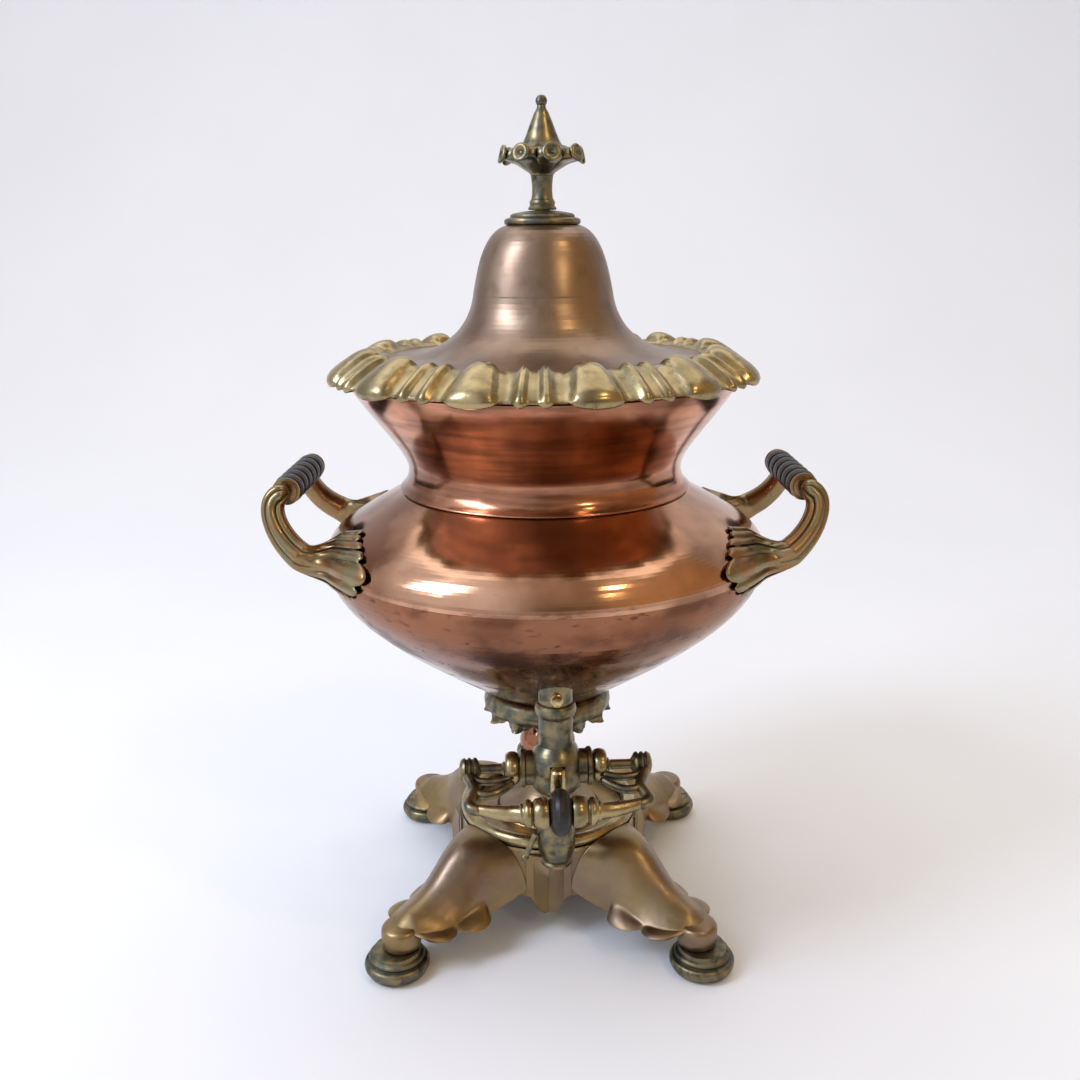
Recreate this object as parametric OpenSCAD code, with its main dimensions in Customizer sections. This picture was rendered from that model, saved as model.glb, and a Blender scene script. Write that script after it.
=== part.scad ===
// Copper and brass tea urn on four legs, with a tap whose key is a swinging bail.
// Millimetres, +Z up. The origin is on the floor, on the axis of the bowl.
// The tap faces -Y and the handles stand at -X and +X.

/* [Feet and legs] */
// Distance between the centres of neighbouring feet
foot_spread = 182.6; // [172:0.2:196]
// Widest diameter of a turned foot
foot_d = 38.8; // [34:0.2:44]
// Height of the turned rings of a foot
foot_h = 15.5; // [15:0.5:19]
// Diameter of a leg's round toe
toe_d = 24; // [21:0.2:27]
// Thickness of the cast legs
leg_wall = 3.4; // [2.6:0.2:4]
// Half width of a leg where it leaves the platform
hip_w = 31; // [28:0.5:33]
// Height of a leg's crest over its toe
toe_h = 30.5; // [29:0.5:33]
// Depth of the scallops along a leg's hem
scallop = 4; // [1:0.2:5]
// Diameter of the screws and studs that hold the legs and feet
stud_d = 4; // [3:0.5:5]

/* [Platform] */
// Height of the platform's top above the floor
platform_h = 57; // [54:0.5:62]
// Outer radius of the platform
platform_r = 58; // [55:0.5:60]
// Wall of the cast platform
platform_wall = 3.5; // [3:0.25:5]
// Height of the skirt below the platform's top
skirt_h = 31; // [28:0.5:34]
// Drop of the four pendants below the skirt
pendant_h = 8; // [5:0.5:9]
// Radius of the round moulding that crowns the platform
crown_r = 4.3; // [3.5:0.1:5]

/* [Stem] */
// Height of the pedestal between the platform and the stem ring
pedestal_h = 39; // [34:0.5:46]
// Radius of the pedestal's foot
pedestal_r = 34; // [28:0.5:40]
// Radius of the pedestal's waist
waist_r = 12.5; // [10:0.5:15]
// Outer radius of the stem ring
stem_ring_r = 20.2; // [18:0.2:23]
// Thickness of the stem ring
stem_ring_h = 5.5; // [4:0.5:8]
// Radius of the copper knop
knop_r = 18.4; // [16:0.2:20]
// Height of the copper knop
knop_h = 18.5; // [16:0.5:24]
// Outer radius of the leaf collar under the bowl
collar_r = 39.5; // [36:0.5:43]
// Height of the leaf collar
collar_h = 21; // [19:0.5:25]
// Number of leaves in the collar
collar_leaves = 12; // [8:1:16]
// Diameter of the tie rod through the stem
rod_d = 8; // [6:0.5:10]

/* [Bowl] */
// Outer radius of the bowl at its belly
bowl_r = 134; // [130:0.5:140]
// Outer radius of the bowl's flat floor
bowl_floor_r = 30; // [26:0.5:33]
// Height from the bowl's floor to its belly
bowl_depth = 97; // [92:0.5:110]
// Height from the belly to the neck
shoulder_h = 43; // [38:0.5:50]
// Thickness of the copper sheet
sheet = 1.5; // [1.2:0.1:2]

/* [Neck and rim] */
// Outer radius of the neck's straight collar
neck_r = 82.3; // [78:0.5:90]
// Height of the neck's straight collar
neck_collar_h = 10; // [8:0.5:14]
// Height of the neck, with its collar
neck_h = 62; // [54:0.5:70]
// Outer radius of the neck's flared lip
neck_lip_r = 116; // [113:0.5:118]
// Outer radius of the rim in the grooves of the gadroons
rim_r = 124.2; // [123.4:0.2:127]
// Radius of the rim's mouth
mouth_r = 87; // [84:0.5:89]
// Height of the rim's crest above the neck's lip
rim_h = 17; // [16:0.5:20]
// Relief of the gadroons
gadroon_h = 3.2; // [1:0.1:3.6]
// Number of gadroon groups, each a lobe and two reeds
gadroon_groups = 12; // [9:1:16]
// Width of the rebate that the lid's edge lies in
rebate_w = 6.6; // [6:0.2:7.5]

/* [Lid] */
// Height from the lid's edge to its crown
lid_h = 74; // [68:0.5:84]
// Radius of the lid's bell above the flare
bell_r = 41; // [37:0.5:46]
// Thickness of the lid's edge
lid_edge = 2.3; // [2:0.1:3]
// Depth of the ring that locates the lid in the mouth
lid_ring_h = 9; // [7:0.5:12]
// Radial clearance of the lid in its rebate and mouth
lid_gap = 0.5; // [0.4:0.1:0.9]
// How far the lid lifts
lid_lift = 120; // [60:5:160]

/* [Finial] */
// Radius of the finial's stepped base
finial_base_r = 22; // [20:0.5:25]
// Height of the stepped base
finial_base_h = 8; // [7:0.5:11]
// Radius of the finial's stem
finial_stem_r = 6; // [5:0.25:7]
// Height of the stem from the base to the flower
finial_stem_h = 18.5; // [15:0.5:24]
// Outer radius of the flower's curled petals
flower_r = 25; // [22:0.5:28]
// Height of the flower's cup
flower_h = 16; // [14:0.5:18]
// Number of petals
petals = 8; // [6:1:10]
// Height of the spire above the flower
spire_h = 27; // [22:0.5:34]

/* [Handles] */
// Distance of a grip's axis from the urn's axis
grip_x = 150; // [147:0.5:154]
// Height of a grip's axis above the belly
grip_rise = 45; // [42:0.5:50]
// Length of a grip
grip_len = 70; // [64:1:76]
// Radius of a grip over its rings
grip_r = 8.6; // [7.5:0.1:9.4]
// Number of turned rings on a grip
grip_rings = 6; // [4:1:8]
// Diameter of the rod through a grip
grip_rod_d = 5; // [4:0.5:6]
// Half thickness of an arm beside the grip
arm_r = 4.8; // [4:0.2:5.4]
// Half width of an arm beside the grip
arm_b = 6; // [5:0.2:7]
// Length of the leaf that lies on the bowl
leaf_len = 44; // [36:1:50]
// Half height of that leaf
leaf_w = 16; // [13:0.5:19]

/* [Tap] */
// Distance of the tap's upright axis from the urn's axis
tap_y = 78; // [76:0.5:84]
// Height of the plug's axis above the floor
tap_z = 127; // [122:0.5:134]
// Turn of the tap about the urn's axis, in degrees
tap_yaw = 3.5; // [-6:0.5:6]
// Outer radius of the inlet pipe
pipe_r = 9.8; // [9:0.2:12]
// Bore radius of the inlet pipe
pipe_bore = 6; // [4:0.25:7.5]
// Radius of the valve body
body_r = 16.4; // [15:0.2:16.8]
// Radius of the cross barrel that holds the plug
barrel_r = 10.6; // [10:0.1:12]
// Half length of the cross barrel
barrel_half = 21; // [19.5:0.5:23]
// Radius of the plug
plug_r = 6.5; // [5.5:0.1:7.5]
// Running clearance of the plug in its barrel
plug_gap = 0.06; // [0.03:0.01:0.1]
// Radius of the waterway through plug and body
water_r = 3.5; // [2.5:0.1:4]
// Height of the nozzle below the valve body
nozzle_h = 48; // [40:0.5:52]
// Radius of the nozzle's bell
nozzle_r = 11.8; // [10.5:0.1:13]
// Bore radius of the nozzle's outlet
outlet_r = 5; // [4:0.1:6]
// Reach of the key's bar from the plug's axis
key_reach = 36; // [36:0.5:40]
// Half width of the key between its knuckles
key_half = 52; // [48:0.5:58]
// Droop of the closed key below level, in degrees
key_droop = 16; // [10:1:22]
// Swing of the key from closed to open, in degrees
key_swing = 55; // [40:1:58]
// Radius of the ebonised bead on the bar
bead_r = 13.2; // [11:0.2:13.4]

/* [Heating iron] */
// Outer radius of the socket tube in the bowl
socket_r = 22; // [19:0.5:26]
// Height of the socket above the bowl's floor
socket_h = 199; // [190:1:206]
// Length of the heating iron
iron_len = 120; // [90:5:130]
// Radial clearance of the iron in its socket
iron_gap = 3.5; // [2:0.5:6]

/* [Hidden] */

$fn = 96;
fit = 0.1;         // clearance between pieces that are soldered or screwed together
seat = 0.3;        // gap left where a faceted or curved piece lies on another
eps = 0.01;

copper = "#b5653a";
dark_copper = "#8f6a55";
brass = "#8f7f4a";
bronze = "#8a6a48";
ebony = "#1d1a19";
iron = "#4a4644";

// Heights above the floor, from the platform up
z_ring = platform_h + pedestal_h;
z_knop = z_ring + stem_ring_h;
z_collar = z_knop + knop_h;
z_bowl = z_collar + collar_h;
z_belly = z_bowl + bowl_depth;
z_neck = z_belly + shoulder_h;
z_lip = z_neck + neck_h;
z_rebate = z_lip + rim_h - 6;
z_lid = z_rebate + lid_edge;
z_crown = z_rebate + lid_h + lid_edge;
z_finial = z_crown + finial_base_h;
z_flower = z_finial + finial_stem_h;
z_spire = z_flower + flower_h;
z_tip = z_spire + spire_h;
z_grip = z_belly + grip_rise;
z_socket_top = z_bowl + sheet + socket_h;
foot_t = foot_spread / sqrt(2);

// Point at t on the cubic curve with the control points p
function bez(p, t) = p[0] * pow(1 - t, 3) + 3 * p[1] * t * pow(1 - t, 2)
    + 3 * p[2] * t * t * (1 - t) + p[3] * pow(t, 3);
// n + 1 points along that curve
function curve(p, n) = [for (i = [0:n]) bez(p, i / n)];
function reversed(p) = [for (i = [len(p) - 1:-1:0]) p[i]];
function unit(v) = v / norm(v);
// Direction square to the outline at point i, on its left-hand side
function left_of(p, i) = let (a = p[max(i - 1, 0)], b = p[min(i + 1, len(p) - 1)],
    d = unit(b - a)) [-d[1], d[0]];
// The outline p moved to its left by t
function offset_line(p, t) = [for (i = [0:len(p) - 1]) p[i] + t * left_of(p, i)];
// Closed section of a sheet of thickness t whose outer outline is p
function sheet_section(p, t) = concat(p, reversed(offset_line(p, t)));

// Outer outlines of the copper sheets, as [radius, height], from the bottom up
bowl_line = curve([[bowl_floor_r, z_bowl],
    [bowl_floor_r + (bowl_r - bowl_floor_r) * 0.593, z_bowl + bowl_depth * 0.44],
    [bowl_r, z_bowl + bowl_depth * 0.7], [bowl_r, z_belly]], 28);
shoulder_line = curve([[bowl_r, z_belly], [bowl_r, z_belly + shoulder_h * 0.42],
    [neck_r + 34.7, z_neck - 22], [neck_r, z_neck]], 24);
neck_line = concat([[neck_r, z_neck + fit]],
    curve([[neck_r, z_neck + neck_collar_h], [neck_r, z_neck + neck_collar_h + 11],
        [neck_r + 18.7, z_lip - 23], [neck_lip_r, z_lip]], 20));
body_line = concat(bowl_line, shoulder_line);

// Outer radius of the bowl and shoulder at height z
body_table = [for (p = body_line) [p[1], p[0]]];
function body_radius(z) = lookup(z, body_table);

// Solid skinned over a row of rings, each clockwise as seen along the row. A ring's first
// half runs over the outer side and the rest back over the inner side, and strips between
// the two close the ends.
module skin(rings, closed = false) {
    n = len(rings);
    m = len(rings[0]);
    last = (n - 1) * m;
    sides = [for (i = [0:n - (closed ? 1 : 2)], k = [0:m - 1])
        let (a = i * m, b = ((i + 1) % n) * m, l = (k + 1) % m)
            each [[a + k, b + l, a + l], [a + k, b + k, b + l]]];
    caps = [for (k = [0:m / 2 - 2]) let (c = m - 2 - k, d = m - 1 - k)
        each [[k, k + 1, c], [k, c, d],
            [last + k, last + c, last + k + 1], [last + k, last + d, last + c]]];
    polyhedron([for (r = rings) each r], closed ? sides : concat(sides, caps));
}

// Revolved solid with the section p, about the Z axis
module turned(p) rotate_extrude() polygon(p);

// Solid turned about the X axis: p lists [distance along X, radius]
module turned_x(p) rotate([0, 90, 0]) rotate_extrude()
    polygon(concat([[0, p[0][0]]], [for (q = p) [q[1], q[0]]], [[0, p[len(p) - 1][0]]]));

// ---- Vessel ----

module at_tap() rotate([0, 0, tap_yaw]) translate([0, -tap_y, 0]) children();

module bowl() color(copper) difference() {
    turned(concat([for (p = sheet_section(bowl_line, sheet)) [p[0], min(p[1], z_belly - fit)]],
        [[bowl_floor_r, z_bowl + sheet], [0, z_bowl + sheet], [0, z_bowl]]));
    translate([0, 0, z_bowl - 1]) cylinder(r = rod_d / 2 + fit, h = sheet + 2);
    at_tap() translate([0, 0, z_bowl]) cylinder(r = pipe_bore, h = bowl_depth);
}

upstand_r = neck_r - sheet - fit;

module shoulder() color(copper) {
    inner = reversed(offset_line(shoulder_line, sheet));
    turned(concat([for (p = shoulder_line) [p[0], max(p[1], z_belly)]],
        [[upstand_r, z_neck], [upstand_r, z_neck + 7], [upstand_r - sheet, z_neck + 7],
            [upstand_r - sheet, inner[0][1] - sheet]],
        [for (p = inner) if (p[0] > upstand_r + sheet) [p[0], max(p[1], z_belly)]]));
}

module neck() color(copper) {
    inner = offset_line(neck_line, sheet);
    turned(concat(neck_line, [[inner[len(inner) - 1][0], z_lip]],
        reversed([for (p = inner) if (p[1] < z_lip - 1) [p[0], max(p[1], z_neck + fit)]])));
}

// Relief of the gadroons at an angle: 0 in a groove, 1 on a crest. A group of one lobe and
// two reeds fills each step, and the reeds lie about the middle of it.
group_step = 360 / gadroon_groups;
reed_half = group_step * 0.187;
function gadroon(a) = let (x = abs(a)) x < reed_half
    ? 0.8 * pow(abs(sin(180 * x / reed_half)), 0.8)
    : sqrt(max(0, 1 - pow((group_step / 2 - x) / (group_step / 2 - reed_half), 2)));
reed_cuts = [0, 0.25, 0.5, 0.75, 1];
lobe_cuts = [0.1, 0.3, 0.6];
half_group = concat([for (c = reed_cuts) c * reed_half],
    [for (c = lobe_cuts) reed_half + c * (group_step / 2 - reed_half)]);
group_cuts = concat([-group_step / 2], [for (i = [len(half_group) - 1:-1:1]) -half_group[i]],
    half_group);
gadroon_turn = -92.5;

// The rim's section at an angle, with its relief g: rebate, crest, drooping face, seat
land_r = neck_lip_r - sheet / 2;
function rim_section(g) = [
    [mouth_r, z_rebate - 3], [mouth_r, z_rebate], [mouth_r + rebate_w, z_rebate],
    [mouth_r + rebate_w, z_rebate + 3.2], [mouth_r + 10, z_lip + rim_h - 1.2 + 0.3 * g],
    [mouth_r + 14.5, z_lip + rim_h - 0.6 + 0.9 * g], [rim_r - 17.5, z_lip + rim_h - 2.6 + g],
    [rim_r - 10.6 + 0.4 * g, z_lip + rim_h - 6.6 + 0.9 * g],
    [rim_r - 4.6 + 0.7 * g, z_lip + rim_h - 11.4 + 0.6 * g], [rim_r - 0.9 + g, z_lip + 1.4],
    [rim_r + 0.9 * g, z_lip - 2.2 - 0.5 * g], [land_r + 4.4, z_lip - 2.4], [land_r + 1.6, z_lip],
    [land_r - 2.6, z_lip], [land_r - 3.4, z_lip + 3.6], [mouth_r + 12, z_rebate - 3.4]];

module rim() color(brass) skin([for (i = [0:gadroon_groups - 1], c = group_cuts)
    let (a = gadroon_turn + i * group_step + c)
        [for (p = rim_section(gadroon_h * gadroon(c))) [p[0] * cos(a), p[0] * sin(a), p[1]]]],
    closed = true);

// ---- Heating iron and its socket ----

socket_floor = z_bowl + sheet + 9;

module iron_socket() color(copper) translate([0, 0, z_bowl + sheet]) difference() {
    cylinder(r = socket_r, h = socket_h);
    translate([0, 0, socket_floor + sheet - z_bowl - sheet])
        cylinder(r = socket_r - sheet, h = socket_h);
    translate([0, 0, -1]) cylinder(r = socket_r - sheet, h = socket_floor - z_bowl - sheet + 1);
}

iron_r = socket_r - sheet - iron_gap;
iron_z = socket_floor + sheet;
eye_r = 6;
eye_wire = 2.2;

module heating_iron() color(iron) translate([0, 0, iron_z]) {
    turned([[0, 0], [iron_r - 2, 0], [iron_r, 2], [iron_r, iron_len - 4], [iron_r - 4, iron_len],
        [0, iron_len]]);
    translate([0, 0, iron_len + eye_r + eye_wire - 1]) rotate([90, 0, 0]) rotate_extrude()
        translate([eye_r, 0]) circle(r = eye_wire, $fn = 32);
}

cap_plug_h = 8;
cap_h = 5;

module socket_cap() color(brass) translate([0, 0, z_socket_top + fit]) difference() {
    turned([[0, -cap_plug_h], [socket_r - sheet - lid_gap, -cap_plug_h],
        [socket_r - sheet - lid_gap, 0], [socket_r + 2.5, 0], [socket_r + 2.5, 1.6],
        [socket_r, 3], [8, cap_h], [0, cap_h]]);
    translate([0, 0, -cap_plug_h - 1]) cylinder(r = 2 + fit, h = cap_plug_h + cap_h + 2);
}

module cap_knob() color(brass) translate([0, 0, z_socket_top + fit]) {
    translate([0, 0, -cap_plug_h]) cylinder(r = 2, h = cap_plug_h + cap_h);
    translate([0, 0, cap_h]) turned([[0, 0], [4.5, 0], [3, 2.5], [5.6, 4.5], [6.4, 7],
        [5.6, 9.2], [3.4, 10.6], [0, 11]]);
}

// ---- Stem ----

rod_hole = rod_d / 2 + fit;

module leaf_collar() color(brass) {
    tip_z = z_collar + 7.4;
    // Radius of the round notches that part the leaves
    notch_r = PI * collar_r / collar_leaves * 0.55;
    difference() {
        turned(concat([[rod_hole, z_collar], [13, z_collar]],
            curve([[15, z_collar + 2], [24, z_collar + 8], [collar_r - 8, z_collar + 14],
                [collar_r - 4.5, tip_z]], 10),
            curve([[collar_r - 1, tip_z], [collar_r + 2, z_collar + 11],
                [collar_r, z_bowl - 5], [bowl_floor_r + 6, z_bowl + 3.4]], 10),
            [[bowl_floor_r + 0.4, z_bowl - fit], [rod_hole, z_bowl - fit]]));
        for (i = [0:collar_leaves - 1]) rotate([0, 0, (i + 0.5) * 360 / collar_leaves])
            translate([collar_r - 12, 0, tip_z - 0.6]) rotate([0, 90, 0])
                cylinder(r = notch_r, h = 20, $fn = 32);
        // Hollow that clears the bowl's underside
        turned([[bowl_floor_r, z_bowl - fit], [bowl_floor_r + 60, z_bowl - fit + 41],
            [bowl_floor_r, z_bowl + 41]]);
    }
}

module knop() color(copper) turned(concat([[rod_hole, z_knop]],
    curve([[knop_r - 2, z_knop], [knop_r + 2, z_knop + 5], [knop_r - 2, z_knop + 12],
        [12, z_collar - fit]], 12), [[rod_hole, z_collar - fit]]));

module stem_ring() color(brass) turned(concat([[rod_hole, z_ring]],
    [for (a = [-80:20:80]) [stem_ring_r - stem_ring_h / 2 + stem_ring_h / 2 * cos(a),
        z_ring + (stem_ring_h - fit) / 2 * (1 + sin(a))]], [[rod_hole, z_knop - fit]]));

module pedestal() color(bronze) turned(concat([[rod_hole, platform_h],
    [pedestal_r, platform_h], [pedestal_r, platform_h + 2.5]],
    curve([[pedestal_r - 2, platform_h + 5], [waist_r + 4, platform_h + 9],
        [waist_r, z_ring - 20], [waist_r, z_ring - 8]], 14),
    [[waist_r + 3, z_ring - 5], [waist_r + 3, z_ring - fit], [rod_hole, z_ring - fit]]));

nut_h = 5;
nut_r = rod_d;

module tie_rod() color(iron) translate([0, 0, platform_h - platform_wall - nut_h - 3])
    cylinder(d = rod_d, h = z_bowl + sheet + nut_h + 1 - platform_h + platform_wall + nut_h + 3);

module tie_nut(z) translate([0, 0, z]) difference() {
    cylinder(r = nut_r, h = nut_h, $fn = 6);
    translate([0, 0, -1]) cylinder(r = rod_d / 2 + fit, h = nut_h + 2);
}

module tie_nuts() color(iron) {
    tie_nut(z_bowl + sheet + fit);
    tie_nut(platform_h - platform_wall - nut_h - fit);
}

// ---- Platform and legs ----

// Lower outline of a pendant's right half, as [distance from its middle, height]
pendant_z = platform_h - skirt_h;
pendant_half = 14;
pendant_edge = curve([[4, pendant_z - pendant_h], [7, pendant_z - pendant_h],
    [9, pendant_z + 1], [pendant_half, pendant_z + 1]], 6);
pendant_fold = 3.6;

module pendant() intersection() {
    translate([0, -platform_r, 0]) linear_extrude(platform_h - 1)
        polygon([[-pendant_half, platform_wall], [0, platform_wall - pendant_fold],
            [pendant_half, platform_wall], [pendant_half, 0.6], [0, -pendant_fold],
            [-pendant_half, 0.6]]);
    rotate([90, 0, 0]) linear_extrude(platform_r + 10)
        polygon(concat([[0, pendant_z - pendant_h + 2.2]], pendant_edge,
            [[pendant_half, platform_h], [-pendant_half, platform_h]],
            [for (p = reversed(pendant_edge)) [-p[0], p[1]]]));
}

leg_screw_z = pendant_z + 17;
leg_screw_reach = 7;

// One for each leg: the children are drawn pointing along +X
module at_legs() for (a = [45:90:315]) rotate([0, 0, a]) children();

module platform() color(bronze) difference() {
    union() {
        difference() {
            translate([0, 0, pendant_z]) cylinder(r = platform_r, h = skirt_h);
            translate([0, 0, pendant_z - 1])
                cylinder(r = platform_r - platform_wall, h = skirt_h - platform_wall + 1);
        }
        for (a = [0:90:270]) rotate([0, 0, a]) pendant();
    }
    translate([0, 0, platform_h - platform_wall - 1]) cylinder(r = rod_hole, h = platform_wall + 2);
    at_legs() translate([platform_r - 10, 0, leg_screw_z]) rotate([0, 90, 0])
        cylinder(d = stud_d + 2 * fit, h = 14);
}

crown_x = platform_r - crown_r - 0.2;
lip_h = 1.6;

module platform_crown() color(brass) {
    rotate_extrude() translate([crown_x, platform_h + lip_h + crown_r * 0.75]) circle(r = crown_r);
    translate([0, 0, platform_h]) difference() {
        cylinder(r = platform_r, h = lip_h + 0.4);
        translate([0, 0, -1]) cylinder(r = crown_x - crown_r - 1.6, h = lip_h + 3);
    }
}

// A leg's outlines over t, the distance from the urn's axis: crest, notches of the hem and
// half width. It ends in a round toe that stands on the foot.
toe_t = foot_t - 4;
toe_r = toe_d / 2;
leg_start = platform_r + seat;
leg_end = toe_t + toe_r;
knee = [foot_t - 27, (platform_h + toe_h) / 2 - 1.2];
crest_line = concat(curve([[leg_start, platform_h + 6], [knee[0] - 18, platform_h + 9],
    [knee[0] - 14, knee[1] + 7.5], knee], 10), curve([knee, [knee[0] + 6, knee[1] - 6],
    [toe_t - 6, toe_h + 2], [leg_end + 0.1, toe_h - 0.5]], 8));
hem_line = curve([[leg_start, pendant_z + 4], [leg_start + 10, foot_h + 9.5],
    [toe_t - 25, foot_h + 6.5], [toe_t - 4, toe_h - 3.4]], 10);
width_line = curve([[leg_start, hip_w], [leg_start + 28, hip_w + 2],
    [toe_t - 18, hip_w - 4], [toe_t, toe_r]], 10);
leg_steps = 18;
leg_cuts = [1, 0.94, 0.82, 0.62, 0.3, 0, -0.3, -0.62, -0.82, -0.94, -1];
leg_t = concat([for (i = [0:leg_steps]) leg_start + (toe_t - leg_start) * i / leg_steps],
    [for (b = [18:18:72]) toe_t + toe_r * sin(b)], [leg_end - 0.15]);

// Depth of the hem at t: straight down to lobe_start, then two lobes with a notch between
// them, from 0 in the notch to 1 on a lobe
lobe_start = leg_start + 24;
function lobe(t) = let (x = (t - lobe_start) / (toe_t - 6 - lobe_start))
    x < 0 || x > 1 ? 0 : pow(abs(sin(360 * x)), 0.7);
// A leg's walls are solid beside the platform and in the toe
function hollow(t) = max(0.02, min(1, (t - leg_start - 8) / 3, (foot_t - 19 - t) / 6));

function leg_point(t, v, wall) = let (
    s = min(1, (t - leg_start) / (toe_t - leg_start)),
    c = lookup(t, crest_line) - 2 * pow(max(0, t - toe_t) / toe_r, 4),
    h = lookup(t, hem_line) - scallop * lobe(t) * pow(abs(v), 4),
    w = t < toe_t ? lookup(t, width_line) + scallop * 0.6 * lobe(t)
        : sqrt(toe_r * toe_r - pow(t - toe_t, 2)),
    side = v * max(w - wall, w * 0.2), ridge = 0.25 * (1 - s), round = 6 - 2.2 * s,
    arch = 1 - ridge * pow(abs(v), 1.3) - (1 - ridge) * pow(abs(v), round))
    [t - (1 - s) * (leg_start - sqrt(pow(leg_start, 2) - side * side)), side,
        h + (c - wall - h) * arch * (wall > 0 ? hollow(t) : 1)];

module leg(a) rotate([0, 0, a]) color(bronze) difference() {
    union() {
        skin([for (t = leg_t) concat([for (v = leg_cuts) leg_point(t, v, 0)],
            [for (v = reversed(leg_cuts)) leg_point(t, v, leg_wall)])]);
        translate([toe_t, 0, foot_h + fit]) cylinder(r = toe_r - 0.6, h = toe_h - 3 - foot_h);
    }
    translate([foot_t, 0, 0]) cylinder(d = stud_d + 2 * fit, h = foot_h + stud_reach + 0.5);
    translate([0, 0, leg_screw_z]) rotate([0, 90, 0])
        cylinder(d = stud_d + 2 * fit, h = leg_start + leg_screw_reach);
}

module leg_screws() color(iron) at_legs() translate([0, 0, leg_screw_z]) rotate([0, 90, 0]) {
    translate([0, 0, platform_r - platform_wall - 3 - fit]) cylinder(d = 1.8 * stud_d, h = 2.6);
    translate([0, 0, platform_r - platform_wall - 1]) cylinder(d = stud_d,
        h = platform_wall + seat + leg_screw_reach);
}

module foot(a) rotate([0, 0, a]) translate([foot_t, 0, 0]) color(brass) difference() {
    turned(concat([[0, 0], [foot_d / 2 - 5.5, 0], [foot_d / 2 - 2, 1.6]],
        [for (b = [-60:20:60]) [foot_d / 2 - 2.6 + 2.6 * cos(b), 6.2 + 3.4 * sin(b)]],
        [[foot_d / 2 - 3, 9.6]],
        [for (b = [-60:20:60]) [foot_d / 2 - 4.6 + 1.8 * cos(b), 11.4 + 1.6 * sin(b)]],
        [[foot_d / 2 - 5, 13.4], [foot_d / 2 - 5.6, foot_h], [0, foot_h]]));
    translate([0, 0, -1]) cylinder(d = stud_d + 2 * fit, h = foot_h + 2);
    translate([0, 0, -1]) cylinder(d = stud_d * 2, h = 4);
}

stud_reach = 6;        // how far a foot's stud goes into its leg

module foot_studs() color(iron) at_legs() translate([foot_t, 0, 0.5]) {
    cylinder(d = stud_d * 2 - 2 * fit, h = 2.3);
    cylinder(d = stud_d, h = foot_h + stud_reach - 0.5);
}

// ---- Handles ----

arm_cuts = 8;          // points across the outer side of an arm's section
arm_steps = 12;
leaf_steps = 12;
ferrule_r = 8;
ferrule_w = 3.2;
ferrule_y = grip_len / 2 + fit;
arm_y = ferrule_y + ferrule_w + fit + arm_r;
leaf_turn = -27;       // direction of the leaf's root about the urn's axis
root_z = z_belly + 6.5;
root_r = body_radius(root_z);
root_lift = 6.4;
arm_curve = [[grip_x - 3.5, -arm_y, z_grip + 1], [grip_x + 18, -arm_y, z_grip],
    [grip_x - 1, -arm_y - 12, root_z + 2],
    [(root_r + root_lift) * cos(leaf_turn), (root_r + root_lift) * sin(leaf_turn), root_z]];

// Flutes run along the arm's outer side
function flute(a) = 1 + 0.1 * cos(4 * a);

function arm_ring(t) = let (c = bez(arm_curve, t),
    d = unit(bez(arm_curve, min(t + 0.01, 1)) - bez(arm_curve, max(t - 0.01, 0))),
    u = unit(cross([0, 1, 0], d) * (1 - t) + cross([-0.2, 1, -0.3], d) * t),
    w = cross(u, d), k = sqrt(1 - pow(max(0, 1 - 8 * t - 0.35), 2)),
    a = (arm_r + 0.6 * t) * k, b = (arm_b + 3.4 * t * t) * k)
    concat([for (k = [0:arm_cuts]) let (q = 180 * k / arm_cuts)
            c + (w * a * sin(q) - u * b * cos(q)) * flute(q)],
        [for (k = [0:arm_cuts]) let (q = 180 + 180 * (k + 0.5) / (arm_cuts + 1))
            c + w * a * sin(q) - u * b * cos(q)]);

// Height of the leaf above the bowl at s along it and x across it
function leaf_top(s, x) = (7.4 * (1 - s) + 2.6) * (1 - 0.55 * x * x) * flute(90 + 90 * x)
    * (1 - pow(s, 6));
function leaf_edge(s) = leaf_w * (0.62 + 0.38 * min(1, s * 5)) * (1 + 0.1 * abs(sin(540 * s)))
    * sqrt(max(0.03, 1 - pow(s, 3.2)));

function on_body(turn, z, lift) = let (r = body_radius(z) + lift)
    [r * cos(turn), r * sin(turn), z];

function leaf_ring(s) = let (turn = leaf_turn - s * leaf_len / root_r * 180 / PI,
    e = leaf_edge(s))
    concat([for (k = [0:arm_cuts]) let (x = 1 - 2 * k / arm_cuts)
            on_body(turn, root_z - x * e, seat + 1 + leaf_top(s, x))],
        [for (k = [0:arm_cuts]) let (x = -1 + 2 * k / arm_cuts)
            on_body(turn, root_z - x * e, seat)]);

rod_reach = 4;

module handle_arm() color(brass) difference() {
    skin(concat([for (t = [0, 0.03]) arm_ring(t)],
        [for (i = [1:arm_steps]) arm_ring(i / arm_steps * 0.97)],
        [for (i = [0:leaf_steps]) leaf_ring(i / leaf_steps)]));
    on_grip([[-arm_y + arm_r - rod_reach - 0.5, grip_rod_d / 2 + fit], [0, grip_rod_d / 2 + fit]]);
}

module rear() mirror([0, 1, 0]) children();
module left() mirror([1, 0, 0]) children();

// Solid turned about a grip's axis: p lists [distance from its middle, radius]
module on_grip(p) translate([grip_x, 0, z_grip]) rotate([0, 0, 90]) turned_x(p);

ring_pitch = grip_len / grip_rings;

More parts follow.
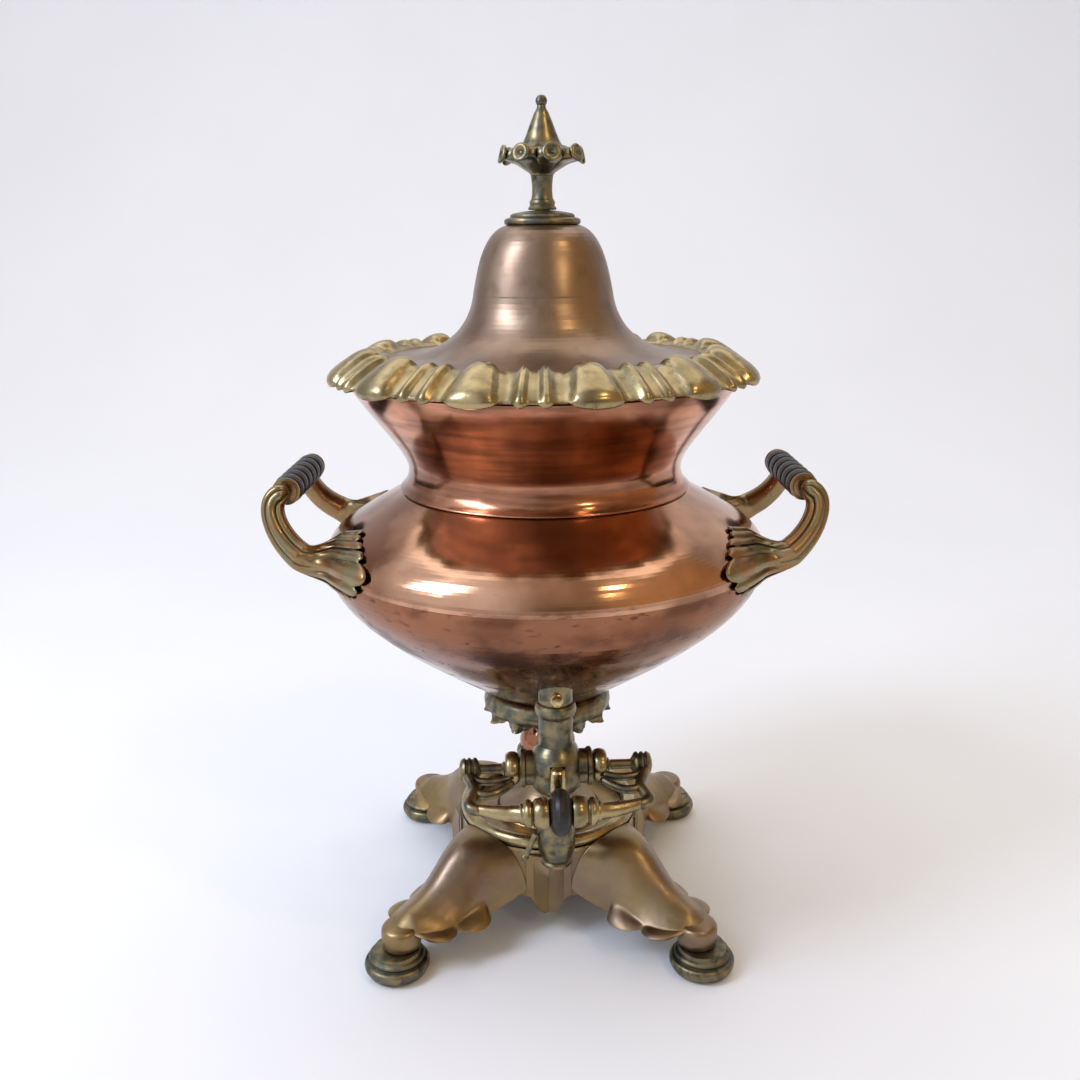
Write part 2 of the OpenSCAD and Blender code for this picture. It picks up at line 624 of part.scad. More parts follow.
module grip() color(ebony) difference() {
    on_grip([for (i = [0:grip_rings - 1]) each let (y = -grip_len / 2 + i * ring_pitch)
        [[y, grip_r - 1.6], [y + 0.9, grip_r - 1.6], [y + 2, grip_r - 0.5],
            [y + ring_pitch / 2, grip_r], [y + ring_pitch - 2, grip_r - 0.5],
            [y + ring_pitch - 0.9, grip_r - 1.6], [y + ring_pitch, grip_r - 1.6]]]);
    on_grip([[-grip_len, grip_rod_d / 2 + fit], [grip_len, grip_rod_d / 2 + fit]]);
}

rod_end = arm_y - arm_r + rod_reach;

module grip_rod() color(iron)
    on_grip([[-rod_end, grip_rod_d / 2], [rod_end, grip_rod_d / 2]]);

module ferrules() color(brass) difference() {
    for (s = [-1, 1]) on_grip([for (q = [[0, ferrule_r - 1], [0.7, ferrule_r],
        [ferrule_w - 1.2, ferrule_r], [ferrule_w - 0.9, ferrule_r - 1.4],
        [ferrule_w, ferrule_r - 1.6]]) [s * (ferrule_y + q[0]), q[1]]]);
    on_grip([[-rod_end, grip_rod_d / 2 + fit], [rod_end, grip_rod_d / 2 + fit]]);
}

// ---- Tap ----

pipe_foot = tap_z + body_r - 1;
pipe_top = z_belly;
nozzle_top = tap_z - body_r + 1;
nozzle_z = nozzle_top - nozzle_h;

module inlet_pipe() color(brass) difference() {
    at_tap() union() {
        translate([0, 0, pipe_foot]) cylinder(r = pipe_r, h = pipe_top - pipe_foot);
        translate([0, 0, pipe_foot + 22]) turned([for (b = [-90:22.5:90])
            [pipe_r - 1.5 + 3.6 * cos(b), 5 * sin(b)]]);
    }
    at_tap() translate([0, 0, pipe_foot - 1]) cylinder(r = pipe_bore, h = pipe_top);
    // The bowl's underside trims the pipe
    turned(concat([[0, z_bowl - 1]], [for (p = offset_line(bowl_line, -fit)) p],
        [[bowl_r + 40, z_belly + 1], [0, z_belly + 1]]));
}

nub_z = pipe_foot + 31;

module pipe_nub() color(brass) at_tap() translate([0, 0, nub_z]) rotate([0, 0, 90])
    turned_x([[-pipe_r - 5.5, 1.2], [-pipe_r - 5, 2.6], [-pipe_r - 3.2, 3.5],
        [-pipe_r - 1.4, 2.8], [-pipe_r - 0.8, 3.6], [-pipe_r - 0.2, 3.6]]);

module valve_body() color(brass) at_tap() difference() {
    union() {
        turned(concat([[0, nozzle_top]], curve([[9, nozzle_top], [body_r + 2.5, nozzle_top + 5],
            [body_r + 2, pipe_foot - 9], [pipe_r, pipe_foot - fit]], 14), [[0, pipe_foot - fit]]));
        translate([0, 0, tap_z]) turned_x([[-barrel_half, barrel_r - 0.6],
            [-barrel_half + 0.8, barrel_r + 0.5], [-barrel_half + 2.6, barrel_r + 0.5],
            [-barrel_half + 3.4, barrel_r - 0.6], [barrel_half - 3.4, barrel_r - 0.6],
            [barrel_half - 2.6, barrel_r + 0.5], [barrel_half - 0.8, barrel_r + 0.5],
            [barrel_half, barrel_r - 0.6]]);
    }
    translate([0, 0, tap_z]) rotate([0, 90, 0]) translate([0, 0, -barrel_half - 1])
        cylinder(r = plug_r + plug_gap, h = 2 * barrel_half + 2);
    translate([0, 0, nozzle_top - 1]) cylinder(r = water_r, h = pipe_foot - nozzle_top + 2);
    // Recess for the barrel head of the screw, and the screw's hole
    translate([0, -screw_y, screw_foot - fit]) cylinder(r = screw_r + fit, h = screw_h + 2 * fit);
    translate([0, -screw_y, tap_z]) rotate([-90, 0, 0])
        cylinder(r = shank_r + fit, h = shank_len + fit);
}

screw_r = 4.5;         // upright barrel head of the body's screw
screw_h = 15;
screw_y = body_r - 0.8;
screw_foot = tap_z - 8;
shank_r = 2.6;
shank_len = screw_y - plug_r - 2;

module body_screw() color(brass) at_tap() translate([0, -screw_y, 0]) {
    translate([0, 0, screw_foot]) turned([[0, 0], [screw_r - 1, 0], [screw_r, 1],
        [screw_r, screw_h - 1.8], [screw_r - 0.8, screw_h - 0.6], [screw_r - 2.4, screw_h],
        [0, screw_h]]);
    translate([0, 0, tap_z]) rotate([-90, 0, 0]) cylinder(r = shank_r, h = shank_len);
}

module nozzle() color(brass) at_tap() translate([0, 0, nozzle_z]) difference() {
    turned(concat([[0, 0], [8.2, 0], [9, 1], [9, 2.4], [8, 3.4]],
        curve([[8.4, 4.4], [nozzle_r + 0.6, 9], [nozzle_r + 1, 26], [7.4, nozzle_h - 11]], 14),
        [[7.4, nozzle_h - 5], [9, nozzle_h - 3.4], [9, nozzle_h - fit], [0, nozzle_h - fit]]));
    translate([0, 0, -1]) cylinder(r = outlet_r, h = 25);
    translate([0, 0, 20]) cylinder(r = water_r, h = nozzle_h);
}

hook_tilt = 23;

module nozzle_hook() color(brass) at_tap()
    translate([-nozzle_r + 0.4, -3, nozzle_z + 24]) rotate([0, 180 + hook_tilt, 0]) {
        translate([0, 0, 2.4]) cylinder(r = 1.6, h = 16.2, $fn = 32);
        translate([0, 0, 19.2]) sphere(r = 2.2, $fn = 32);
    }

// The key and plug are drawn with the bar straight ahead, then lowered to the closed place
module at_key() at_tap() translate([0, 0, tap_z]) rotate([key_droop, 0, 0]) children();
cap_w = 8;
cap_start = barrel_half + 0.4;
cap_end = cap_start + cap_w;
cap_r = 9.7;

module plug() color(brass) at_key() difference() {
    rotate([0, 90, 0]) translate([0, 0, -cap_start - 5]) cylinder(r = plug_r, h = 2 * cap_start + 10);
    // The waterway stands upright once the key is raised through its swing
    rotate([key_swing - key_droop, 0, 0]) translate([0, 0, -plug_r - 1])
        cylinder(r = water_r, h = 2 * plug_r + 2);
}

module plug_caps() color(brass) at_key() difference() {
    for (s = [-1, 1]) turned_x([for (b = [-90:20:90]) [s * (cap_start + cap_w / 2 * (1 + sin(b))),
        cap_r - 2.4 + 2.4 * cos(b)]]);
    rotate([0, 90, 0]) translate([0, 0, -cap_start - 5 - fit])
        cylinder(r = plug_r + fit, h = 2 * cap_start + 10 + 2 * fit);
}

strand_r = 2.6;
tenon_r = 2.2;
bar_end = key_half - 3;
eye_half = 11.5;       // half length of the pierced eye of a scroll
eye_bow = 7;           // how far each side of the eye bows out
eye_x = key_half - 13;
eye_y = key_reach * 0.48;

// One side of the pointed eye of a scroll
module eye_bow_part() {
    r = (eye_half * eye_half + eye_bow * eye_bow) / (2 * eye_bow);
    half = asin(eye_half / r);
    translate([0, eye_bow - r, 0]) rotate([0, 0, 90 - half]) rotate_extrude(angle = 2 * half)
        translate([r, 0]) circle(r = strand_r * 0.9, $fn = 32);
}

// The right-hand side of the key's frame: arm, knuckle, side strand and pierced scroll
module key_arm() difference() {
    union() {
        turned_x([[cap_end + fit, 3.4], [key_half - 6, 3.4]]);
        turned_x([[key_half - 7, 4], [key_half - 6, 6.2], [key_half - 4.4, 6.9],
            [key_half - 3.2, 6], [key_half - 2, 6.9], [key_half - 0.8, 6],
            [key_half + 0.6, 6.9], [key_half + 2.6, 6.4], [key_half + 4, 4]]);
        translate([key_half - 1, 0, 0]) rotate([90, 0, 3])
            cylinder(r1 = 3.8, r2 = 3.2, h = key_reach - 1);
        translate([eye_x, -eye_y, 0]) {
            rotate([0, 0, 8]) {
                eye_bow_part();
                mirror([0, 1, 0]) eye_bow_part();
            }
            translate([-eye_half, -1.6, 0]) sphere(r = strand_r + 1.2, $fn = 48);
            translate([eye_half, 1.4, 0]) sphere(r = strand_r + 1, $fn = 48);
            translate([-eye_half, 0, 0]) rotate([-90, 0, 22])
                cylinder(r = strand_r, h = (eye_y - cap_r) / cos(22) - seat);
        }
        translate([bar_end + 3.5, -key_reach, 0]) sphere(r = 3.8, $fn = 48);
    }
    translate([0, -key_reach, 0]) turned_x([[0, tenon_r + fit], [bar_end + 2.5, tenon_r + fit]]);
}

module key_arm_left() color(brass) at_key() left() key_arm();
module key_arm_right() color(brass) at_key() key_arm();

bead_half = 6;
bead_hole = 3;

// Right half of the turned bar, as [distance from the middle, radius]
bar_line = [[bead_half + fit, 6.8], [bead_half + 1, 8.4], [bead_half + 2.4, 8.8],
    [bead_half + 8, 8], [bead_half + 9.6, 6.2], [bead_half + 10.4, 7.4],
    [bead_half + 12.6, 7.8], [bead_half + 14, 7], [bead_half + 14.6, 5.6],
    [bead_half + 16, 5.8], [bead_half + 17, 4.9], [bar_end - 4, 3.2], [bar_end - 0.6, 3]];

module key_bar() color(brass) at_key() translate([0, -key_reach, 0]) {
    turned_x([[-bar_end - 2, tenon_r], [bar_end + 2, tenon_r]]);
    turned_x([[-bead_half - 1, bead_hole - fit], [bead_half + 1, bead_hole - fit]]);
    for (s = [-1, 1]) turned_x([for (p = bar_line) [s * p[0], p[1]]]);
}

module key_bead() color(ebony) at_key() translate([0, -key_reach, 0]) difference() {
    turned_x([for (b = [-70:20:70]) [bead_half * sin(b) / sin(70), bead_r * cos(b * 0.8)]]);
    turned_x([[-20, bead_hole], [20, bead_hole]]);
}

// ---- Lid and finial ----

lid_r = mouth_r + rebate_w - lid_gap;
lid_line = concat([[lid_r, z_rebate], [lid_r, z_lid]],
    curve([[lid_r - 0.1, z_lid], [bell_r + 23, z_lid], [bell_r + 4, z_lid + 11.5],
        [bell_r, z_lid + 34.5]], 22),
    curve([[bell_r - 0.1, z_lid + 35.5], [bell_r - 3, z_lid + 51], [bell_r - 7, z_crown - 2.5],
        [finial_base_r - 2, z_crown]], 16));
nut_room = 3.2;
finial_rod_r = 2.4;

module lid() color(dark_copper) difference() {
    inner = [for (p = offset_line([for (i = [2:len(lid_line) - 1]) lid_line[i]], sheet))
        if (p[0] < lid_r - 2) p];
    turned(concat(lid_line, [[0, z_crown], [0, z_crown - sheet]], reversed(inner),
        [[lid_r - 2.4, z_rebate]]));
    translate([0, 0, z_crown - 4]) cylinder(r = finial_rod_r + fit, h = 8);
}

lid_ring_r = mouth_r - lid_gap;

module lid_ring() color(dark_copper) translate([0, 0, z_rebate - lid_ring_h]) difference() {
    cylinder(r = lid_ring_r, h = lid_ring_h + lid_edge - sheet - seat);
    translate([0, 0, -1]) cylinder(r = lid_ring_r - sheet, h = lid_ring_h + lid_edge + 2);
}

module finial_base() color(brass) turned(concat([[finial_rod_r + fit, z_crown + fit],
    [finial_base_r - 0.6, z_crown + fit], [finial_base_r, z_crown + 1]],
    [for (b = [0:30:90]) [finial_base_r - 2 + 2 * cos(b), z_crown + 2 + 1.6 * sin(b)]],
    [[finial_base_r - 3.4, z_crown + 4]],
    [for (b = [0:30:90]) [finial_base_r - 5.4 + 2 * cos(b), z_crown + 4.4 + 1.8 * sin(b)]],
    [[10, z_finial - 0.6], [finial_rod_r + fit, z_finial]]));

module finial_stem() color(brass) turned(concat([[finial_rod_r + fit, z_finial + fit],
    [8, z_finial + fit], [8.2, z_finial + 1], [7, z_finial + 2.6], [7.4, z_finial + 4],
    [6.8, z_finial + 5.4]],
    curve([[finial_stem_r + 0.3, z_finial + 6], [finial_stem_r - 0.5, z_finial + 9],
        [finial_stem_r - 0.3, z_flower - 4], [finial_stem_r + 0.4, z_flower - fit]], 8),
    [[finial_rod_r + fit, z_flower - fit]]));

petal_turn = 14 - 90;

module finial_flower() color(brass) difference() {
    union() {
        turned(concat([[0, z_flower]], curve([[finial_stem_r + 0.6, z_flower],
            [finial_stem_r + 3, z_flower + 4], [flower_r - 6, z_flower + 6],
            [flower_r - 3, z_flower + 10]], 8),
            curve([[flower_r - 3.4, z_flower + 12], [flower_r - 8, z_flower + 13.5],
                [16, z_spire - 1.5], [12.4, z_spire]], 6), [[0, z_spire]]));
        for (i = [0:petals - 1]) rotate([0, 0, petal_turn + i * 360 / petals])
            translate([flower_r - 4.2, 0, z_flower + 12]) sphere(r = 4.2, $fn = 48);
    }
    translate([0, 0, z_flower - 1]) cylinder(r = finial_rod_r + fit, h = 12);
    for (i = [0:petals - 1]) rotate([0, 0, petal_turn + (i + 0.5) * 360 / petals])
        translate([flower_r + 1, 0, z_flower]) cylinder(r = 4.2, h = flower_h, $fn = 48);
}

bud_r = 3.3;

module finial_spire() color(brass) turned(concat([[0, z_spire + fit]],
    curve([[12, z_spire + fit], [9, z_spire + 3.4], [7.6, z_spire + 10], [4, z_tip - 9.4]], 10),
    [[2.6, z_tip - 2 * bud_r - 0.5]], [for (b = [-45:15:90]) [bud_r * cos(b),
        z_tip - bud_r + bud_r * sin(b)]]));

module finial_rod() color(iron) translate([0, 0, z_crown - nut_room - 6])
    cylinder(r = finial_rod_r, h = z_flower + 10 - z_crown + nut_room + 6);

module finial_nut() color(brass) translate([0, 0, z_crown - sheet - fit - nut_room]) difference() {
    union() {
        cylinder(r = 5, h = nut_room - 0.8, $fn = 6);
        translate([0, 0, nut_room - 0.8]) cylinder(r = 9, h = 0.8);
    }
    translate([0, 0, -1]) cylinder(r = finial_rod_r + fit, h = nut_room + 2);
}

bowl();
shoulder();
neck();
rim();
iron_socket();
heating_iron();
socket_cap();
cap_knob();
leaf_collar();
knop();
stem_ring();
pedestal();
tie_rod();
tie_nuts();
platform();
platform_crown();
leg(225);  // leg_front_left
leg(315);  // leg_front_right
leg(135);  // leg_rear_left
leg(45);  // leg_rear_right
leg_screws();
foot(225);  // foot_front_left
foot(315);  // foot_front_right
foot(135);  // foot_rear_left
foot(45);  // foot_rear_right
foot_studs();
left() handle_arm();  // arm_front_left
left() rear() handle_arm();  // arm_rear_left
handle_arm();  // arm_front_right
rear() handle_arm();  // arm_rear_right
left() grip();  // grip_left
grip();  // grip_right
left() grip_rod();  // grip_rod_left
grip_rod();  // grip_rod_right
left() ferrules();  // ferrules_left
ferrules();  // ferrules_right
inlet_pipe();
pipe_nub();
valve_body();
body_screw();
nozzle();
nozzle_hook();
plug();
plug_caps();
key_arm_left();
key_arm_right();
key_bar();
key_bead();
lid();
lid_ring();
finial_base();
finial_stem();
finial_flower();
finial_spire();
finial_rod();
finial_nut();
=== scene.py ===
"""Copper and brass tea urn: cast ornament, aged metals, a pale floor, lamps and a camera
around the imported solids."""

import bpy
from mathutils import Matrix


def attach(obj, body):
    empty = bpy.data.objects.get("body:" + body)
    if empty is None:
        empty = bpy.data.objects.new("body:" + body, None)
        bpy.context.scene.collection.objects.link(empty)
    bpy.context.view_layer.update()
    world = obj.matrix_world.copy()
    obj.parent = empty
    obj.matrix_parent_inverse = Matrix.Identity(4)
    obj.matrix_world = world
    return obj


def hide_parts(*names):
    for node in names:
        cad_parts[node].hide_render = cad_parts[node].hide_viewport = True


bl_info = {
    "name": "Copper and brass tea urn",
    "version": (1, 0, 0),
    "blender": (4, 5, 0),
    "location": "View3D > Sidebar > Tea urn",
    "description": "Dresses the urn's solids with cast ornament and aged metals",
    "category": "Object",
}

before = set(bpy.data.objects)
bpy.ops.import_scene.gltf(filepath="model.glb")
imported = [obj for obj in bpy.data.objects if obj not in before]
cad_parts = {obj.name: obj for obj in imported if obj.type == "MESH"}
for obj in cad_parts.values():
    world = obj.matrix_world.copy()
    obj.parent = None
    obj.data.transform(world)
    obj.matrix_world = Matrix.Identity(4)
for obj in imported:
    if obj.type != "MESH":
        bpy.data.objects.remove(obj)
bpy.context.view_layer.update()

import math

import bpy
from mathutils import Matrix, Vector

MM = 0.001

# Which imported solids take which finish
FINISHES = {
    "polished_copper": ("shoulder", "iron_socket"),
    "streaked_copper": ("bowl", "knop"),
    "reddened_copper": ("neck",),
    "browned_copper": ("lid", "lid_ring"),
    "cast_brass": (
        "rim", "platform_crown", "plug_caps", "key_bar", "finial_nut", "socket_cap",
        "cap_knob"),
    "grimed_brass": (
        "leaf_collar", "stem_ring", "inlet_pipe", "valve_body", "nozzle", "nozzle_hook",
        "plug", "key_arm_left", "key_arm_right", "finial_flower", "finial_spire"),
    "warm_brass": (
        "arm_front_left", "arm_rear_left", "arm_front_right", "arm_rear_right",
        "ferrules_left", "ferrules_right"),
    # The screw and the pipe's nub take a paler brass than the rest of the tap: a painted
    # highlight
    "highlight_painted_brass": ("body_screw", "pipe_nub"),
    "dull_brass": (
        "foot_front_left", "foot_front_right", "foot_rear_left", "foot_rear_right",
        "finial_base", "finial_stem"),
    "cast_bronze": (
        "pedestal", "platform", "leg_front_left", "leg_front_right", "leg_rear_left",
        "leg_rear_right"),
    "black_wood": ("grip_left", "grip_right", "key_bead"),
    "dark_iron": (
        "heating_iron", "tie_rod", "tie_nuts", "leg_screws", "foot_studs", "grip_rod_left",
        "grip_rod_right", "finial_rod"),
}


# ---- Sizes and colours that can be changed ----


def size(name, text, default, low, high):
    """A length setting, given in mm and kept in metres."""
    return bpy.props.FloatProperty(name=name, description=text, default=default * MM,
                                   min=low * MM, max=high * MM, subtype="DISTANCE",
                                   unit="LENGTH", precision=4)


def colour(name, text, hex_code):
    """A colour setting, given as an sRGB hex value and kept linear."""
    return bpy.props.FloatVectorProperty(name=name, description=text, subtype="COLOR", size=4,
                                         min=0, max=1, default=linear(hex_code))


def linear(hex_code):
    """Linear colour of an sRGB hex value."""
    parts = [int(hex_code[i:i + 2], 16) / 255 for i in (1, 3, 5)]
    return tuple(c / 12.92 if c <= 0.04045 else ((c + 0.055) / 1.055) ** 2.4
                 for c in parts) + (1.0,)


class UrnSizes(bpy.types.PropertyGroup):
    lobe_relief: size("Lobe relief", "Height of the rim's lobes", 4.8, 1, 6)
    reed_relief: size("Reed relief", "Height of the rim's reeds", 2.8, 0.5, 4)
    leg_wall: size("Leg wall", "Thickness of the cast legs", 3.0, 2, 5)
    fold: size("Pendant ridge", "How far the ridges of the four pendants stand out", 2.8, 0, 4)
    lip: size("Leg lip", "Fall of the legs' scalloped hems", 1.6, 0, 3)
    rib: size("Arm ribs", "Height of the ribs on the handles' arms", 1.7, 0, 2)
    finger: size("Leaf fingers", "Height of the fingers of the handles' leaves", 1.8, 0, 3)
    frond: size("Frond thickness", "Thickness of the fronds under the bowl", 1.7, 1, 3)


class UrnColours(bpy.types.PropertyGroup):
    copper: colour("Copper", "Clean polished copper of the shoulder", "#d2a282")
    copper_bowl: colour("Bowl copper", "Browner copper of the bowl", "#99674c")
    copper_toned: colour("Toned copper", "Copper that has browned", "#8c6048")
    copper_red: colour("Red copper", "Redder copper of the neck", "#dd9c7a")
    copper_tarnish: colour("Copper tarnish", "Dark streaks in the copper", "#54342a")
    lid_copper: colour("Lid copper", "Brown skin of the lid", "#957f6b")
    lid_toned: colour("Toned lid", "Redder patches of the lid", "#7d6554")
    brass: colour("Brass", "High parts of the cast brass", "#ae9b73")
    brass_toned: colour("Toned brass", "Olive skin of the cast brass", "#8d805f")
    brass_dull: colour("Dull brass", "Grey skin of the tap and the collar", "#5f6056")
    brass_warm: colour("Warm brass", "Coppery high parts of the handles", "#9a7650")
    # Laid over the hollows' painted shade as well as over the dirt patches
    brass_dirt_and_shade: colour("Brass dirt", "Grey-green dirt in the hollows", "#3d3f36")
    # A pale brass that paints a highlight on the screw and the pipe's nub
    brass_painted_highlight: colour("Highlight-painted brass", "Brass that fingers keep bright", "#cfb787")
    bronze: colour("Bronze", "High parts of the legs", "#988057")
    bronze_toned: colour("Toned bronze", "Brown skin of the legs", "#877463")
    # Laid over the hollows' painted shade as well as over the dirt patches
    bronze_dirt_and_shade: colour("Bronze dirt", "Grey dirt in the hollows", "#45443d")
    tin: colour("Tin", "Tinned inside of the vessel", "#a9a7a0")
    wood: colour("Black wood", "Stained and waxed hardwood", "#151110")
    iron: colour("Iron", "Dark oxidised iron", "#3a3634")


# ---- Modelling helpers ----


def clear():
    """Object mode with nothing selected."""
    if bpy.context.object and bpy.context.object.mode != "OBJECT":
        bpy.ops.object.mode_set(mode="OBJECT")
    bpy.ops.object.select_all(action="DESELECT")


def pick(*pieces):
    """Selects just these pieces, the first of them active."""
    clear()
    for piece in pieces:
        piece.select_set(True)
    bpy.context.view_layer.objects.active = pieces[0]


def named(name):
    """The primitive that was just added, under its own name."""
    piece = bpy.context.object
    piece.name = piece.data.name = name
    return piece


def turned(name, outline, steps=96):
    """A turned solid: points set on the outline, as [radius, height], and spun about Z."""
    clear()
    bpy.ops.mesh.primitive_circle_add(vertices=len(outline), radius=0.01)
    piece = named(name)
    for vertex, (radius, height) in zip(piece.data.vertices, outline):
        vertex.co = (radius * MM, 0, height * MM)
    bpy.ops.object.mode_set(mode="EDIT")
    bpy.ops.mesh.select_all(action="SELECT")
    bpy.ops.mesh.spin(steps=steps, angle=math.tau, center=(0, 0, 0), axis=(0, 0, 1))
    bpy.ops.object.mode_set(mode="OBJECT")
    settle(piece)
    return piece


def shaped(name, place, along, across, wall=0.0):
    """A skin drawn from a grid: place(u, v) gives its point in mm, u and v from 0 to 1. Edges
    that come to lie on each other are merged. A wall thickens it behind its faces."""
    clear()
    bpy.ops.mesh.primitive_grid_add(x_subdivisions=along, y_subdivisions=across, size=2)
    piece = named(name)
    for vertex in piece.data.vertices:
        vertex.co = Vector(place((vertex.co.x + 1) / 2, (vertex.co.y + 1) / 2)) * MM
    settle(piece, turn=not wall)
    if wall:
        modify(piece, "SOLIDIFY", thickness=wall, offset=-1, use_quality_normals=True)
    return piece


def settle(piece, turn=True):
    """Merges doubles, and turns every face of a closed skin outwards."""
    pick(piece)
    bpy.ops.object.mode_set(mode="EDIT")
    bpy.ops.mesh.select_all(action="SELECT")
    bpy.ops.mesh.remove_doubles(threshold=2e-6)
    if turn:
        bpy.ops.mesh.normals_make_consistent(inside=False)
    bpy.ops.object.mode_set(mode="OBJECT")


def modify(piece, kind, **settings):
    """Adds a modifier with its settings and applies it."""
    pick(piece)
    modifier = piece.modifiers.new(kind.title(), kind)
    for key, value in settings.items():
        setattr(modifier, key, value)
    bpy.ops.object.modifier_apply(modifier=modifier.name)


def copied(piece, name, matrix):
    """A copy with its own mesh, moved in its mesh; a mirrored copy keeps its faces outwards."""
    twin = piece.copy()
    twin.data = piece.data.copy()
    twin.name = twin.data.name = name
    bpy.context.scene.collection.objects.link(twin)
    twin.data.transform(matrix)
    if matrix.determinant() < 0:
        twin.data.flip_normals()
    return twin


def joined(name, *pieces):
    """One object made of several meshes."""
    pick(*pieces)
    bpy.ops.object.join()
    return named(name)


def dress(piece, finish, body, *nodes, angle=40):
    """Smooths a piece, gives it its finish and hangs it on a body, in the place of nodes."""
    pick(piece)
    bpy.ops.object.shade_smooth_by_angle(angle=math.radians(angle))
    piece.data.materials.clear()
    piece.data.materials.append(bpy.data.materials[finish])
    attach(piece, body)
    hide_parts(*nodes)


def smooth_line(points, t):
    """Point at t, from 0 to 1, on a smooth line through the points."""
    span = t * (len(points) - 1)
    i = min(int(span), len(points) - 2)
    f = span - i
    a, b, c, d = (Vector(points[max(0, min(len(points) - 1, i + k))]) for k in (-1, 0, 1, 2))
    return 0.5 * (2 * b + (c - a) * f + (2 * a - 5 * b + 4 * c - d) * f * f
                  + (3 * b - a - 3 * c + d) * f ** 3)


def bezier(points, t):
    """Point at t on the cubic curve with these four control points."""
    weights = ((1 - t) ** 3, 3 * t * (1 - t) ** 2, 3 * t * t * (1 - t), t ** 3)
    return sum((Vector(p) * w for p, w in zip(points, weights)), Vector([0] * len(points[0])))


def read_off(curves, value, axis):
    """The other coordinate of a line of cubic curves where this one has the value."""
    points = next((c for c in curves if value <= c[3][axis]), curves[-1])
    low, high = 0.0, 1.0
    for _ in range(22):
        middle = (low + high) / 2
        low, high = (middle, high) if bezier(points, middle)[axis] < value else (low, middle)
    return bezier(points, low)[1 - axis]


def ease(t):
    """0 to 1 with level ends."""
    t = max(0, min(1, t))
    return t * t * (3 - 2 * t)


def bump(t, power=1.0):
    """0 at both ends of a span from 0 to 1 and 1 in its middle."""
    return math.sin(math.pi * max(0, min(1, t))) ** power


# ---- Finishes ----


def add(tree, kind, sockets=(), **settings):
    """Adds a node with its settings; sockets gives the value of an input or what feeds it."""
    made = tree.nodes.new(kind)
    for key, value in settings.items():
        setattr(made, key, value)
    for key, value in dict(sockets).items():
        if isinstance(value, bpy.types.NodeSocket):
            tree.links.new(value, made.inputs[key])
        else:
            made.inputs[key].default_value = value
    return made


def started(name):
    """An empty material under its name: its nodes and the place on the piece."""
    material = bpy.data.materials.get(name) or bpy.data.materials.new(name)
    material.use_nodes = True
    material.node_tree.nodes.clear()
    return material.node_tree, add(material.node_tree, "ShaderNodeTexCoord").outputs


def finished(tree, **sockets):
    """Closes a material with its shader; an underscore in a socket's name is a space."""
    shader = add(tree, "ShaderNodeBsdfPrincipled",
                 {name.replace("_", " "): value for name, value in sockets.items()})
    add(tree, "ShaderNodeOutputMaterial", {"Surface": shader.outputs[0]})


def patches(tree, here, across, low=0.3, high=0.7, least=0.0, most=1.0, detail=4,
            stretch=(1, 1, 1), shift=0.0):
    """Cloudy patches about so many mm across, from least where they are thin to most."""
    placed = add(tree, "ShaderNodeMapping", {"Vector": here, "Scale": stretch,
                                             "Location": (shift, shift * 0.7, shift * 1.3)})
    cloud = add(tree, "ShaderNodeTexNoise", {"Vector": placed.outputs[0],
                                             "Scale": 1 / (across * MM), "Detail": detail})
    return add(tree, "ShaderNodeMapRange", {"Value": cloud.outputs[0], "From Min": low,
                                            "From Max": high, "To Min": least,
                                            "To Max": most}).outputs[0]


def coated(tree, skin, *coats):
    """Colour of a skin under coats, each with the share that it covers and its colour."""
    for share, tone in coats:
        skin = add(tree, "ShaderNodeMix", {0: share, 6: skin, 7: tone},
                   data_type="RGBA").outputs[2]
    return skin


def dented(tree, *heights):
    """Surface direction under stacked reliefs, each with its depth in mm."""
    sockets = {}
    for height, depth in heights:
        relief = add(tree, "ShaderNodeBump", {"Height": height, "Distance": depth * MM,
                                              "Strength": 1.0, **sockets})
        sockets = {"Normal": relief.outputs[0]}
    return relief.outputs[0]


